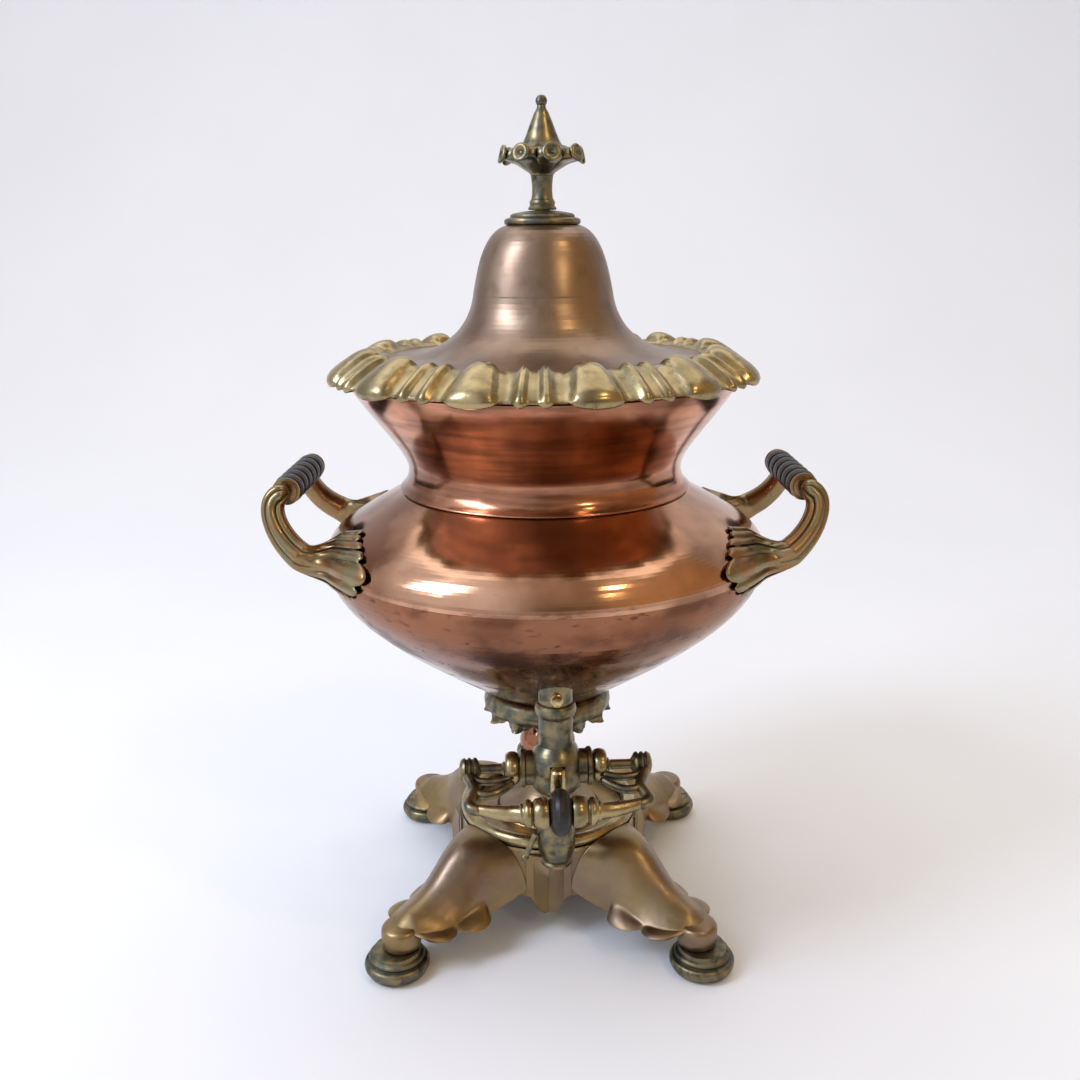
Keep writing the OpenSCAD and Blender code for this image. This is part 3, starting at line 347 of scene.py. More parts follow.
def sheet_copper(name, high, toned, tarnish, tin, streaks=0.0):
    """Hand-raised copper sheet, polished for years and tinned inside: sharp warm reflections
    that swim over the hammer's shallow dents, dark brown patches that grow stronger towards
    the bottom of the bowl and, where it was spun, level streaks."""
    tree, coords = started(name)
    here = coords["Object"]
    height = add(tree, "ShaderNodeSeparateXYZ", {0: here}).outputs[2]
    # Darker towards the bottom of the bowl: the tarnish patches show more strongly below 240 mm
    low = add(tree, "ShaderNodeMapRange", {"Value": height, "From Min": 0.240,
                                           "From Max": 0.215, "To Min": 0.12, "To Max": 0.85})
    smears = add(tree, "ShaderNodeMath", {
        0: patches(tree, here, 34, 0.46, 0.62, detail=6, stretch=(1, 1, 1.5), shift=3),
        1: patches(tree, here, 9, 0.58, 0.68, detail=5, stretch=(1, 1, 2.5), shift=7)},
        operation="MAXIMUM")
    # The seam between the bowl and the shoulder holds dirt
    off_seam = add(tree, "ShaderNodeMath", {
        0: add(tree, "ShaderNodeMath", {0: height, 1: 0.2355}, operation="SUBTRACT").outputs[0]},
        operation="ABSOLUTE")
    seam = add(tree, "ShaderNodeMapRange", {"Value": off_seam.outputs[0], "From Min": 0.010,
                                            "From Max": 0.0, "To Max": 0.7},
               interpolation_type="SMOOTHSTEP")
    where = add(tree, "ShaderNodeMath", {0: low.outputs[0], 1: seam.outputs[0]},
                operation="MAXIMUM")
    dark = add(tree, "ShaderNodeMath", {0: smears.outputs[0], 1: where.outputs[0]},
               operation="MULTIPLY").outputs[0]
    # The tinned inside is where the surface faces the urn's axis
    facing = add(tree, "ShaderNodeVectorMath", {0: coords["Normal"], 1: here},
                 operation="DOT_PRODUCT").outputs["Value"]
    rise = add(tree, "ShaderNodeSeparateXYZ", {0: coords["Normal"]}).outputs[2]
    lift = add(tree, "ShaderNodeMath", {0: height, 1: rise}, operation="MULTIPLY")
    outward = add(tree, "ShaderNodeMath", {0: facing, 1: lift.outputs[0]},
                  operation="SUBTRACT").outputs[0]
    inside = add(tree, "ShaderNodeMapRange", {"Value": outward, "From Min": 0.0,
                                              "From Max": -0.004}).outputs[0]
    level = patches(tree, here, 60, 0.44, 0.66, 0, streaks, detail=6, stretch=(1, 1, 12),
                    shift=9)
    skin = coated(tree, high, (patches(tree, here, 70, 0.40, 0.62), toned), (level, tarnish),
                  (dark, tarnish), (inside, tin))
    rough = add(tree, "ShaderNodeMath", {
        0: dark, 1: 0.22, 2: patches(tree, here, 34, 0.35, 0.7, 0.10, 0.20, shift=5)},
        operation="MULTIPLY_ADD")
    rough = add(tree, "ShaderNodeMath", {0: inside, 1: 0.2, 2: rough.outputs[0]},
                operation="MULTIPLY_ADD").outputs[0]
    finished(tree, Base_Color=skin, Roughness=rough, Metallic=1.0,
             Normal=dented(tree, (patches(tree, here, 38, 0, 1, detail=1), 0.8),
                           (patches(tree, here, 11, 0, 1, detail=2), 0.07),
                           (patches(tree, here, 1.2, 0, 1, detail=2, stretch=(1, 1, 8)),
                            0.004)))


def browned_copper(name, high, toned, tarnish):
    """Copper lid left to brown under a thin wax: mauve-brown, satin, with faint cloudy marks."""
    tree, coords = started(name)
    here = coords["Object"]
    skin = coated(tree, high, (patches(tree, here, 45, 0.40, 0.66), toned),
                  (patches(tree, here, 16, 0.52, 0.78, 0, 0.45, shift=2), tarnish))
    finished(tree, Base_Color=skin, Metallic=1.0,
             Roughness=patches(tree, here, 20, 0.3, 0.7, 0.30, 0.40, detail=5, shift=4),
             Normal=dented(tree, (patches(tree, here, 30, 0, 1, detail=1), 0.7),
                           (patches(tree, here, 8, 0, 1, detail=2), 0.06),
                           (patches(tree, here, 1, 0, 1, detail=2), 0.006)))


def cast_metal(name, high, toned, dirt_and_shade, grain, rough, grime=0.55):
    """Sand-cast metal, chased and polished on its high parts: toned over the rest in patches,
    and darkened in the hollows and under overhangs by painted shade from ambient occlusion,
    mixed with patches of real dirt."""
    tree, coords = started(name)
    here = coords["Object"]
    # Painted shade: ambient occlusion darkens the hollows, the gaps between parts and the
    # undersides
    shade = add(tree, "ShaderNodeAmbientOcclusion", {"Distance": 5 * MM}, samples=8,
                only_local=True).outputs["AO"]
    hollow = add(tree, "ShaderNodeMapRange", {"Value": shade, "From Min": 0.95,
                                              "From Max": 0.4, "To Max": 0.95}).outputs[0]
    # The painted shade of the hollows and random dirt patches together take the dirt-and-shade
    # colour
    kept = add(tree, "ShaderNodeMath", {
        0: hollow, 1: patches(tree, here, 6, 0.54, 0.70, 0, grime, detail=5, shift=6)},
        operation="MAXIMUM").outputs[0]
    skin = coated(tree, high, (patches(tree, here, grain, 0.40, 0.62, detail=5), toned),
                  (kept, dirt_and_shade))
    worn = add(tree, "ShaderNodeMath", {
        0: kept, 1: 0.22, 2: patches(tree, here, 9, 0.3, 0.7, rough, rough + 0.14, shift=8)},
        operation="MULTIPLY_ADD").outputs[0]
    finished(tree, Base_Color=skin, Roughness=worn, Metallic=1.0,
             Normal=dented(tree, (patches(tree, here, 12, 0, 1, detail=2), 0.35),
                           (patches(tree, here, 2, 0, 1, detail=3), 0.02)))


def black_wood(name, wood):
    """Hardwood stained black and waxed: nearly black, a soft sheen and fine pores."""
    tree, coords = started(name)
    here = coords["Object"]
    grain = patches(tree, here, 1.8, 0.45, 0.75, 0, 0.6, detail=5, stretch=(1, 0.12, 1))
    finished(tree, Base_Color=coated(tree, wood, (grain, linear("#3a2e2a"))), IOR=1.5,
             Roughness=patches(tree, here, 7, 0.3, 0.7, 0.36, 0.5),
             Normal=dented(tree, (grain, 0.05)))


def dark_iron(name, iron):
    """Forged iron with a dark oxide skin: dull, with small rusty patches."""
    tree, coords = started(name)
    here = coords["Object"]
    rust = patches(tree, here, 8, 0.58, 0.68, 0, 0.7, detail=6)
    finished(tree, Base_Color=coated(tree, iron, (rust, linear("#5a3a28"))),
             Roughness=patches(tree, here, 8, 0.58, 0.68, 0.48, 0.8, detail=6),
             Metallic=patches(tree, here, 8, 0.58, 0.68, 1.0, 0.2, detail=6),
             Normal=dented(tree, (patches(tree, here, 3, 0, 1), 0.12)))


class UrnFinishes(bpy.types.Operator):
    """Makes the metals and the wood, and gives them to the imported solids"""

    bl_idname = "urn.finishes"
    bl_label = "Finishes"

    def execute(self, context):
        tones = context.scene.urn_colours
        sheet_copper("polished_copper", tones.copper, tones.copper_toned,
                     tones.copper_tarnish, tones.tin)
        sheet_copper("streaked_copper", tones.copper_bowl, tones.copper_toned,
                     tones.copper_tarnish, tones.tin)
        sheet_copper("reddened_copper", tones.copper_red, tones.copper_toned,
                     tones.copper_tarnish, tones.tin, streaks=0.55)
        browned_copper("browned_copper", tones.lid_copper, tones.lid_toned,
                       tones.copper_tarnish)
        cast_metal("cast_brass", tones.brass, tones.brass_toned, tones.brass_dirt_and_shade, 14, 0.20,
                   grime=0.35)
        cast_metal("grimed_brass", tones.brass_toned, tones.brass_dull, tones.brass_dirt_and_shade, 7,
                   0.26, grime=0.7)
        # The handles' hollows take the dull brass as painted shade mixed with dirt
        cast_metal("warm_brass", tones.brass_warm, tones.brass_toned, tones.brass_dull, 16,
                   0.22, grime=0.3)
        # Painted highlight: the screw and the pipe's nub are drawn in a paler brass
        cast_metal("highlight_painted_brass", tones.brass_painted_highlight, tones.brass, tones.brass_dirt_and_shade, 6, 0.18)
        cast_metal("dull_brass", tones.brass_toned, tones.brass_dull, tones.brass_dirt_and_shade, 8, 0.34,
                   grime=0.8)
        cast_metal("cast_bronze", tones.bronze, tones.bronze_toned, tones.bronze_dirt_and_shade, 40, 0.30,
                   grime=0.12)
        black_wood("black_wood", tones.wood)
        dark_iron("dark_iron", tones.iron)
        for finish, nodes in FINISHES.items():
            for name in nodes:
                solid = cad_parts[name]
                solid.data.materials.clear()
                solid.data.materials.append(bpy.data.materials[finish])
        return {"FINISHED"}


# ---- Rim ----

GROUPS = 12
RIM_TURN = math.radians(-92.5)
# Outer side of the rim in the flutes, from the rebate over the crest to the lower lip
RIM_FACE = ((94.4, 356.9), (98, 358.6), (102.5, 358.9), (107.5, 357.1), (113, 353.7),
            (118.4, 350.2), (121.9, 347.6), (123.6, 345.8), (123, 344.6))
RIM_BACK = ((119.6, 344.2), (116.9, 344), (112.7, 344), (111.9, 346.6), (99, 350.7),
            (87, 351), (87, 354), (93.6, 354), (93.6, 356.4))
FACE_ROWS = 26
RIM_ROWS = FACE_ROWS + 1 + len(RIM_BACK)


def rim_relief(x, s, sizes):
    """Relief in mm at x across a group, 0 between the reeds and 0.5 on a lobe, and s down the
    face, and how much of it is lobe and reed."""
    edge = 0.5 - (0.125 + 0.075 * ease(s * 1.3))
    lobe = max(0, 1 - ((0.5 - x) / (0.5 - edge)) ** 2) ** 0.5
    reed = max(0, 1 - ((x - 0.1) / 0.047) ** 2) ** 0.6
    swell = ease(s / 0.2) * (0.4 + 0.6 * bump(0.02 + 0.95 * s, 0.5))
    flute = -2.2 * bump((x - 0.147) / (edge - 0.147)) * ease(s / 0.35)
    return ((sizes.lobe_relief * lobe + sizes.reed_relief * reed) / MM * swell + flute, lobe,
            reed)


def rim_point(u, v, sizes):
    """Point of the rim at u round it and v round its section."""
    turn = math.tau * u
    x = abs((u * GROUPS + 0.5) % 1 - 0.5)
    row = round(v * RIM_ROWS) % RIM_ROWS
    if row > FACE_ROWS:
        radius, height = RIM_BACK[row - FACE_ROWS - 1]
        if row == FACE_ROWS + 1:
            height -= 1.2 * rim_relief(x, 1, sizes)[1]
    else:
        s = row / FACE_ROWS
        radius, height = smooth_line(RIM_FACE, s)
        before, after = (smooth_line(RIM_FACE, max(0, min(1, s + d))) for d in (-0.03, 0.03))
        out = Vector((before.y - after.y, after.x - before.x)).normalized()
        relief, lobe, reed = rim_relief(x, s, sizes)
        radius += out.x * relief
        height += out.y * relief - (0.7 * lobe + 0.5 * reed) * ease((s - 0.7) / 0.3)
    return (radius * math.cos(turn + RIM_TURN), radius * math.sin(turn + RIM_TURN), height)


class UrnRim(bpy.types.Operator):
    """Casts the gadrooned rim: lobes between pairs of reeds, bulging over its lower lip"""

    bl_idname = "urn.rim"
    bl_label = "Gadrooned rim"

    def execute(self, context):
        sizes = context.scene.urn_sizes
        rim = shaped("gadrooned_rim", lambda u, v: rim_point(u, v, sizes), GROUPS * 52,
                     RIM_ROWS)
        dress(rim, "cast_brass", "urn", "rim", angle=60)
        return {"FINISHED"}


# ---- Neck ----


class UrnNeck(bpy.types.Operator):
    """Spins the flared neck, with a soft hollow where it stands on the shoulder"""

    bl_idname = "urn.neck"
    bl_label = "Neck"

    def execute(self, context):
        outer = [bezier(((82.3, 291), (82.3, 302), (101, 320), (116, 343)), i / 24)
                 for i in range(25)]
        inner = [bezier(((114.4, 343), (99.6, 320.8), (80.8, 302.6), (80.8, 291)), i / 24)
                 for i in range(25)]
        foot = [smooth_line(((80.8, 281.1), (86.6, 278.8), (88, 279.1), (86, 281.2),
                             (83.9, 284), (82.6, 287.4)), i / 20) for i in range(21)]
        neck = turned("spun_neck", [tuple(p) for p in foot + outer + inner], 144)
        dress(neck, "reddened_copper", "urn", "neck")
        return {"FINISHED"}


# ---- Legs ----

LEG_START, HOOD_END, TOE_T, TOE_R, FOOT_TOP = 58.3, 132.0, 125.1, 12.0, 15.6
CREST = (((58.3, 63), (84.1, 66), (88.1, 51.5), (102.1, 42.6)),
         ((102.1, 42.6), (109.1, 38.1), (119.1, 32.9), (137.2, 30.4)))
HEM = (((58.3, 31), (68.3, 19), (100.1, 20.4), (121.1, 25.5)),)
# Half width of the leg in the notches of its hem
WIDTH = (((58.3, 31), (66.3, 27), (76.1, 23), (100.1, 22.6)),
         ((100.1, 22.6), (110.1, 21.6), (120.1, 17), (125.1, 11.4)))
# Where the hem's lobes start and end along the leg, and how far they stand out
LOBES = ((80, 102.5, 8), (102.5, 124, 6.2))
# Share of the flank, next to the hem, that the lobes take
LOBE_BAND = 0.1


def hem_lobe(t, edge):
    """How far the hem's lobes stand out at t, and the share of their reach that this is: none
    in a notch, round at the edge, where edge is 1, and softer further in."""
    for start, end, reach in LOBES:
        if start <= t < end:
            share = bump((t - start) / (end - start), 0.6 + 1.2 * (1 - edge))
            return reach * share * edge, share
    return 0.0, 0.0


def leg_point(u, v, sizes):
    """Point of a leg that points along +X: u from the platform to the top of the toe, v
    across. The flanks are full near the platform and hollower further on, over level lobes."""
    v = 2 * v - 1
    side = 1 - (1 - abs(v)) ** 1.5
    t = LEG_START + (HOOD_END - LEG_START) * u
    s = min(1, (t - LEG_START) / (TOE_T - LEG_START))
    edge = ease((side - 1 + LOBE_BAND) / LOBE_BAND)
    reach, lobe = hem_lobe(t, edge)
    on_toe = ease((t - TOE_T + 6) / (HOOD_END - TOE_T + 6))
    crest = read_off(CREST, t, 0) - 3.6 * on_toe + 0.4
    hem = read_off(HEM, min(t, HEM[0][3][0]), 0) + 1.5
    width = read_off(WIDTH, min(t, TOE_T), 0) - 1.6 * on_toe
    steep = 1 - 0.28 * side ** 1.8 - 0.72 * side ** 5.5
    flared = 1 - ease(side ** 1.05)
    arch = steep + (flared - steep) * 0.7 * ease((t - 66) / 44) * (1 - 0.6 * on_toe)
    lip = sizes.lip / MM * ease((side - 0.86) / 0.14)
    y = math.copysign(side * width + reach, v)
    x = t - (1 - s) * (LEG_START - math.sqrt(max(0, LEG_START ** 2 - y * y)))
    return x, y, hem + (crest - hem) * arch + 1.2 * lobe * bump(edge) - lip * lobe


# Right half of a pendant's lower edge, from its middle outwards, as [x, height], its top, and
# its face's distance from the urn's axis and fall towards its sides
PENDANT_EDGE = ((0, 20.6), (1.6, 19.1), (3.4, 18), (5.4, 18.2), (7.4, 21.2), (9.4, 27))
PENDANT_TOP, PENDANT_FACE, PENDANT_FALL = 56, 61.9, 0.3


def pendant_point(u, v, sizes):
    """Point of the front pendant's ridge: u across, v from its lower edge to its top."""
    side = 2 * u - 1
    edge = smooth_line(PENDANT_EDGE, abs(side))
    z = edge.y + (PENDANT_TOP - edge.y) * v
    stand = sizes.fold / MM * (1 - abs(side)) * ease((PENDANT_TOP - z) / 12)
    return (math.copysign(edge.x, side), -(PENDANT_FACE - PENDANT_FALL * edge.x + stand), z)


class UrnLegs(bpy.types.Operator):
    """Casts the four scalloped legs on their round toes, and the pendants' creased ridges"""

    bl_idname = "urn.legs"
    bl_label = "Legs"

    def execute(self, context):
        sizes = context.scene.urn_sizes
        hood = shaped("leg_hood", lambda u, v: leg_point(u, v, sizes), 96, 72, sizes.leg_wall)
        modify(hood, "BEVEL", width=0.9 * MM, segments=3, limit_method="ANGLE",
               angle_limit=math.radians(50))
        toe = turned("leg_toe", ((0, FOOT_TOP), (TOE_R - 1.4, FOOT_TOP), (TOE_R - 0.5, 16.6),
                                 (TOE_R - 0.2, 20), (TOE_R, 25.4), (TOE_R - 0.3, 27.4),
                                 (TOE_R - 1.2, 28.8), (TOE_R - 2.8, 29.6), (0, 29.8)), 64)
        toe.data.transform(Matrix.Translation((TOE_T * MM, 0, 0)))
        leg = joined("leg", hood, toe)
        for name, turn in (("front_left", 225), ("front_right", 315), ("rear_left", 135),
                           ("rear_right", 45)):
            twin = copied(leg, "scalloped_leg_" + name,
                          Matrix.Rotation(math.radians(turn), 4, "Z"))
            dress(twin, "cast_bronze", "urn", "leg_" + name, angle=50)
        bpy.data.objects.remove(leg)
        ridge = shaped("ridge", lambda u, v: pendant_point(u, v, sizes), 40, 30, 2 * MM)
        ridges = [copied(ridge, "ridge_%d" % i, Matrix.Rotation(i * math.tau / 4, 4, "Z"))
                  for i in range(4)]
        bpy.data.objects.remove(ridge)
        dress(joined("pendant_ridges", *ridges), "cast_bronze", "urn")
        return {"FINISHED"}


# ---- Handles ----

# Outline of the vessel from its floor over the belly to the neck, as [radius, height]
VESSEL = (((30, 141), (91.67, 183.68), (134, 208.9), (134, 238)),
          ((134, 238), (134, 256.06), (117, 259), (82.3, 281)))
LEAF_TURN = math.radians(-27)
ROOT_Z = 244.5
ROOT_R = read_off(VESSEL, ROOT_Z, 1)
ARM = ((146.5, -43.2, 284), (168, -43.2, 283), (149, -55.2, 246.5),
       ((ROOT_R + 6.4) * math.cos(LEAF_TURN), (ROOT_R + 6.4) * math.sin(LEAF_TURN), ROOT_Z))
# The leaf's root and the tips of its fingers, as [degrees round the urn, height], and where
# one finger ends and the next starts, all from its lower side to its upper side
LEAF_ROOT = ((-16, 232), (-17, 240), (-18, 246), (-17, 252), (-15, 257))
LEAF_TIPS = ((-36, 229), (-40.5, 236.7), (-43.7, 246.4), (-40.4, 252.5), (-35, 257.5),
             (-29, 260.3), (-25.5, 263))
FINGERS = (-1, -0.8, -0.55, 0.05, 0.3, 0.55, 0.78, 1)


def finger(x):
    """Rise of the leaf's fingers at x across it, 0 between two of them."""
    for start, end in zip(FINGERS, FINGERS[1:]):
        if x <= end:
            return bump((x - start) / (end - start), 0.7)
    return 0.0


def arm_point(t, v, sizes):
    """Point on the arm at t along it and v round it: ribs run along the outer side."""
    centre = bezier(ARM, t)
    along = (bezier(ARM, min(t + 0.01, 1)) - bezier(ARM, max(t - 0.01, 0))).normalized()
    level = Vector((0, 1, 0)).cross(along) * (1 - t) + Vector((-0.2, 1, -0.3)).cross(along) * t
    across = level.normalized()
    out = across.cross(along)
    closing = math.sqrt(max(0, 1 - max(0, 1 - 9 * t) ** 2))
    q = math.tau * v
    rib = sizes.rib / MM * (abs(math.sin(3 * q)) ** 0.6 - 0.6) * closing if v < 0.5 else 0
    thick, wide = (5.6 + 0.6 * t) * closing, (6.2 + 3.4 * t * t) * closing
    return centre + (out * (thick + rib) * math.sin(q)
                     - across * (wide + 0.5 * rib) * math.cos(q))


def leaf_point(s, v, sizes):
    """Point on the leaf that the arm ends in: s from its root to its fingertips and v round
    it, over the upper side and back under it."""
    over = v < 0.5
    x = (4 * v - 1) if over else (3 - 4 * v)
    rise = finger(x)
    reach = s * (1 - (0.14 + 0.12 * ease(x)) * (1 - rise) ** 2)
    turn, height = smooth_line(LEAF_ROOT, (x + 1) / 2).lerp(
        smooth_line(LEAF_TIPS, (x + 1) / 2), reach)
    lift = 0.35 + 1.6 * max(0, (s - 0.78) / 0.22) ** 2
    if over:
        lift += ((7.5 * (1 - s) ** 1.3 + 1.7) * (1 - 0.35 * x * x)
                 + sizes.finger / MM * rise * ease(s * 2)) * (
            (1 - s ** 10) * (1 - x ** 10)) ** 0.5
    radius = read_off(VESSEL, height, 1) + lift
    turn = math.radians(turn)
    return Vector((radius * math.cos(turn), radius * math.sin(turn), height + 0.3 * lift))


def handle_point(u, v, sizes):
    """Point on an arm with its leaf, which grows out of the arm's last stretch."""
    if u < 0.45:
        return arm_point(u / 0.45 * 0.78, v, sizes)
    s = (u - 0.45) / 0.55
    arm = arm_point(0.78 + 0.22 * min(1, s / 0.5), v, sizes)
    return arm.lerp(leaf_point(s, v, sizes), ease(s / 0.5))


class UrnHandles(bpy.types.Operator):
    """Casts the ribbed arms of the handles, which end in leaves on the vessel"""

    bl_idname = "urn.handles"
    bl_label = "Handle arms"

    def execute(self, context):
        sizes = context.scene.urn_sizes
        arm = shaped("arm", lambda u, v: handle_point(u, v, sizes), 170, 120)
        for name, flip in (("front_right", (1, 1)), ("rear_right", (1, -1)),
                           ("front_left", (-1, 1)), ("rear_left", (-1, -1))):
            twin = copied(arm, "leafed_arm_" + name, Matrix.Diagonal((*flip, 1, 1)))
            dress(twin, "warm_brass", "urn", "arm_" + name, angle=55)
        bpy.data.objects.remove(arm)
        return {"FINISHED"}


# ---- Leaf collar ----


def hollow_disc(u, v, place, half):
    """Point of a thick disc that faces +X and has a hollow face: place gives its [x, z] and
    half its half thickness, width and height."""
    polar, turn = math.pi * u, math.tau * v
    away = math.sin(polar)
    x = half[0] * math.cos(polar) * (1 if u > 0.5 else 1 - 1.5 * (1 - away) ** 1.2)
    wide, tall = half[1] * away * math.cos(turn), half[2] * away * math.sin(turn)
    return place[0] + x - 0.25 * tall - 0.03 * wide * wide, wide, place[1] + tall


FRONDS = 12
# Section of the collar down a frond, as [radius, height]
COLLAR = ((32, 142.2), (35.6, 143.4), (37.6, 141.8), (38.4, 139.4), (38.9, 137.4),
          (38.6, 135), (37.4, 133), (36.7, 131), (37, 128.6), (38.2, 126.6))


def collar_point(u, v, sizes):
    """Point of the collar at u round it and v down it: each frond is cupped, has a midrib
    and a scalloped edge that hangs lowest in the middle, and curls outwards."""
    x = (u * FRONDS) % 1 - 0.5
    tips = abs(math.cos(math.pi * 3 * x)) ** 0.6
    hang = (1 - abs(2 * x) ** 2.6) * (0.86 + 0.14 * tips)
    s = v * (0.62 + 0.38 * hang * (1 + 0.06 * math.sin(5 * math.floor(u * FRONDS) + 9 * x)))
    radius, height = smooth_line(COLLAR, min(1, s))
    cupped = ease((s - 0.5) / 0.3)
    radius += cupped * (1.9 * math.cos(math.tau * x) + 0.7 * tips - 1.9)
    radius += 1.2 * cupped * math.exp(-(x / 0.05) ** 2)
    turn = math.tau * (u - 0.5 / FRONDS)
    return radius * math.cos(turn), radius * math.sin(turn), height


class UrnCollar(bpy.types.Operator):
    """Casts the collar of drooping fronds between the stem and the bowl"""

    bl_idname = "urn.collar"
    bl_label = "Leaf collar"

    def execute(self, context):
        sizes = context.scene.urn_sizes
        fronds = shaped("fronds", lambda u, v: collar_point(u, v, sizes), FRONDS * 40, 30,
                        sizes.frond)
        boss = turned("boss", ((0, 120), (13, 120), (15, 121), (22, 125), (30, 131.5),
                               (35, 134), (35, 138), (30, 140.6), (0, 140.6)))
        curl = shaped("curl", lambda u, v: hollow_disc(u, v, (37.6, 137.4), (2.1, 3.6, 4.2)),
                      16, 24)
        curls = [copied(curl, "curl_%d" % i, Matrix.Rotation(
            (i + 0.5) * math.tau / FRONDS, 4, "Z")) for i in range(FRONDS)]
        bpy.data.objects.remove(curl)
        collar = joined("frond_collar", fronds, boss, *curls)
        dress(collar, "grimed_brass", "urn", "leaf_collar", angle=50)
        return {"FINISHED"}


# ---- Finial ----

PETALS = 8
PETAL_TURN = math.radians(14 - 90)
# Outline of the flower's cup, as [radius, height]
CUP = ((6.4, 456.9), (7.2, 458.2), (9.6, 459.8), (15.2, 463), (21.2, 465), (22.6, 467.4),
       (21.4, 470), (18, 471.4), (14.8, 472), (12.6, 472.8), (0, 472.8))


def cup_point(u, v):
    """Point of the flower's cup: u round it and v from its foot over the petals to the top."""
    radius, height = smooth_line(CUP, min(1, v))
    petal = abs(math.cos(PETALS / 2 * math.tau * u))
    grow = bump((v - 0.2) / 0.65)
    radius *= 1 - 0.17 * grow * (1 - petal ** 0.5)
    return (radius * math.cos(math.tau * u + PETAL_TURN),
            radius * math.sin(math.tau * u + PETAL_TURN), height)


class UrnFinial(bpy.types.Operator):
    """Casts the finial's flower: a ribbed cup with eight rolled petals"""

    bl_idname = "urn.finial"
    bl_label = "Finial flower"

    def execute(self, context):
        cup = shaped("cup", cup_point, PETALS * 24, 40)
        petal = shaped("petal", lambda u, v: hollow_disc(
            u, v, (23.2, 468.3), (2.4, 5.6, 5)), 28, 36)
        petals = [copied(petal, "petal_%d" % i, Matrix.Rotation(
            PETAL_TURN + i * math.tau / PETALS, 4, "Z")) for i in range(PETALS)]
        bpy.data.objects.remove(petal)
        flower = joined("petalled_flower", cup, *petals)
        dress(flower, "grimed_brass", "lid", "finial_flower", angle=45)
        return {"FINISHED"}


# ---- Key ----

# From the plug's axis to the cross bar, and the middle of the plug
KEY_REACH, TAP_AT = 36.0, (0, -78, 127)
# Turns of the key below level, and of the tap about the urn
KEY_DROOP, TAP_YAW = math.radians(16), math.radians(3.5)
# Outlines of a knuckle and of half the cross bar, as [radius, x]
KNUCKLE = ((0, 29.6), (3.9, 29.6), (4.1, 30.4), (2.8, 31.6), (2.8, 43.6), (4.4, 44.6),
           (6.2, 45.6), (6.9, 46.6), (6.9, 47.4), (5.9, 48.3), (5.9, 48.8), (6.9, 49.7),
           (6.9, 50.6), (5.9, 51.4), (5.9, 51.9), (6.9, 52.8), (6.6, 54), (5.4, 55.2),
           (2.8, 56), (0, 56.1))
CROSS_BAR = ((0, 6.3), (6.8, 6.3), (8.2, 6.8), (8.9, 8.4), (8.7, 11), (8, 14), (6.4, 15.4),
             (6.6, 16), (7.6, 16.6), (7.9, 18), (7.6, 19.4), (6.2, 20.4), (5.8, 21.2),
             (5.9, 22), (5, 23), (4.4, 30), (3.7, 38), (3.1, 45), (2.7, 47.4), (1.6, 48.6),
             (0, 49))
# Middle lines of the frame's strands from the knuckle and the cap, as [x, y] in its plane
STRANDS = (
    ("side", 3.2, ((51.5, 1), (51, -6), (48.6, -12), (47.4, -17.5), (48.8, -23), (50.4, -27),
                   (49.8, -30), (47, -31.6), (42, -32.8))),
    ("upper", 2.3, ((50, -7), (45.5, -9.4), (39.5, -10.4), (33, -9.8), (26, -7.4))),
    ("lower", 2.5, ((48, -17.5), (43.5, -20.2), (38, -20.4), (32, -17.4), (25, -11))))


def rod_point(line, radius, u, v):
    """Point on a bent rod that lies level: its middle line is line(u)."""
    here, before, after = line(u), line(u - 0.004), line(u + 0.004)
    along = (after - before).normalized()
    x = radius * math.cos(math.tau * v)
    return here.x - along.y * x, here.y + along.x * x, radius * math.sin(math.tau * v)


def strand_point(points, radius, u, v):
    """Point on a strand that is closed at both ends."""
    return rod_point(lambda t: smooth_line(points, max(0, min(1, t))),
                     radius * min(1, 12 * u, 12 * (1 - u)) ** 0.5, u, v)


class UrnKey(bpy.types.Operator):
    """Casts the tap's key: two sides of bent strands and a turned cross bar between them"""

    bl_idname = "urn.key"
    bl_label = "Key frame"

    def execute(self, context):
        to_x = Matrix.Rotation(math.radians(90), 4, "Y")
        knuckle = turned("knuckle", KNUCKLE, 64)
        knuckle.data.transform(to_x)
        strands = [shaped(name, lambda u, v: strand_point(points, radius, u, v), 60, 24)
                   for name, radius, points in STRANDS]
        half = joined("key_half", knuckle, *strands)
        settle(half)
        place = (Matrix.Rotation(TAP_YAW, 4, "Z") @ Matrix.Translation(Vector(TAP_AT) * MM)
                 @ Matrix.Rotation(KEY_DROOP, 4, "X"))
        bar = turned("bar", CROSS_BAR, 64)
        bar.data.transform(to_x)
        # The bar's ends bend back towards the knuckles
        for vertex in bar.data.vertices:
            past = max(0, vertex.co.x / MM / 28 - 0.71)
            vertex.co.y += (5.2 * past ** 2 - KEY_REACH) * MM
        bars = [copied(bar, "bar_" + str(flip), place @ Matrix.Diagonal((flip, 1, 1, 1)))
                for flip in (1, -1)]
        bpy.data.objects.remove(bar)
        dress(joined("key_cross_bar", *bars), "cast_brass", "key", "key_bar", angle=45)
        for name, flip in (("right", 1), ("left", -1)):
            twin = copied(half, "key_frame_" + name, place @ Matrix.Diagonal((flip, 1, 1, 1)))
            dress(twin, "grimed_brass", "key", "key_arm_" + name, angle=45)
        bpy.data.objects.remove(half)
        return {"FINISHED"}


# ---- Stage ----

# The paper's width, its front and back edges, the backdrop's height and its cove's radius, in m
FLOOR_WIDTH, FLOOR_FRONT, FLOOR_BACK, BACKDROP, COVE = 16, -3.2, 1.8, 3.2, 1.0
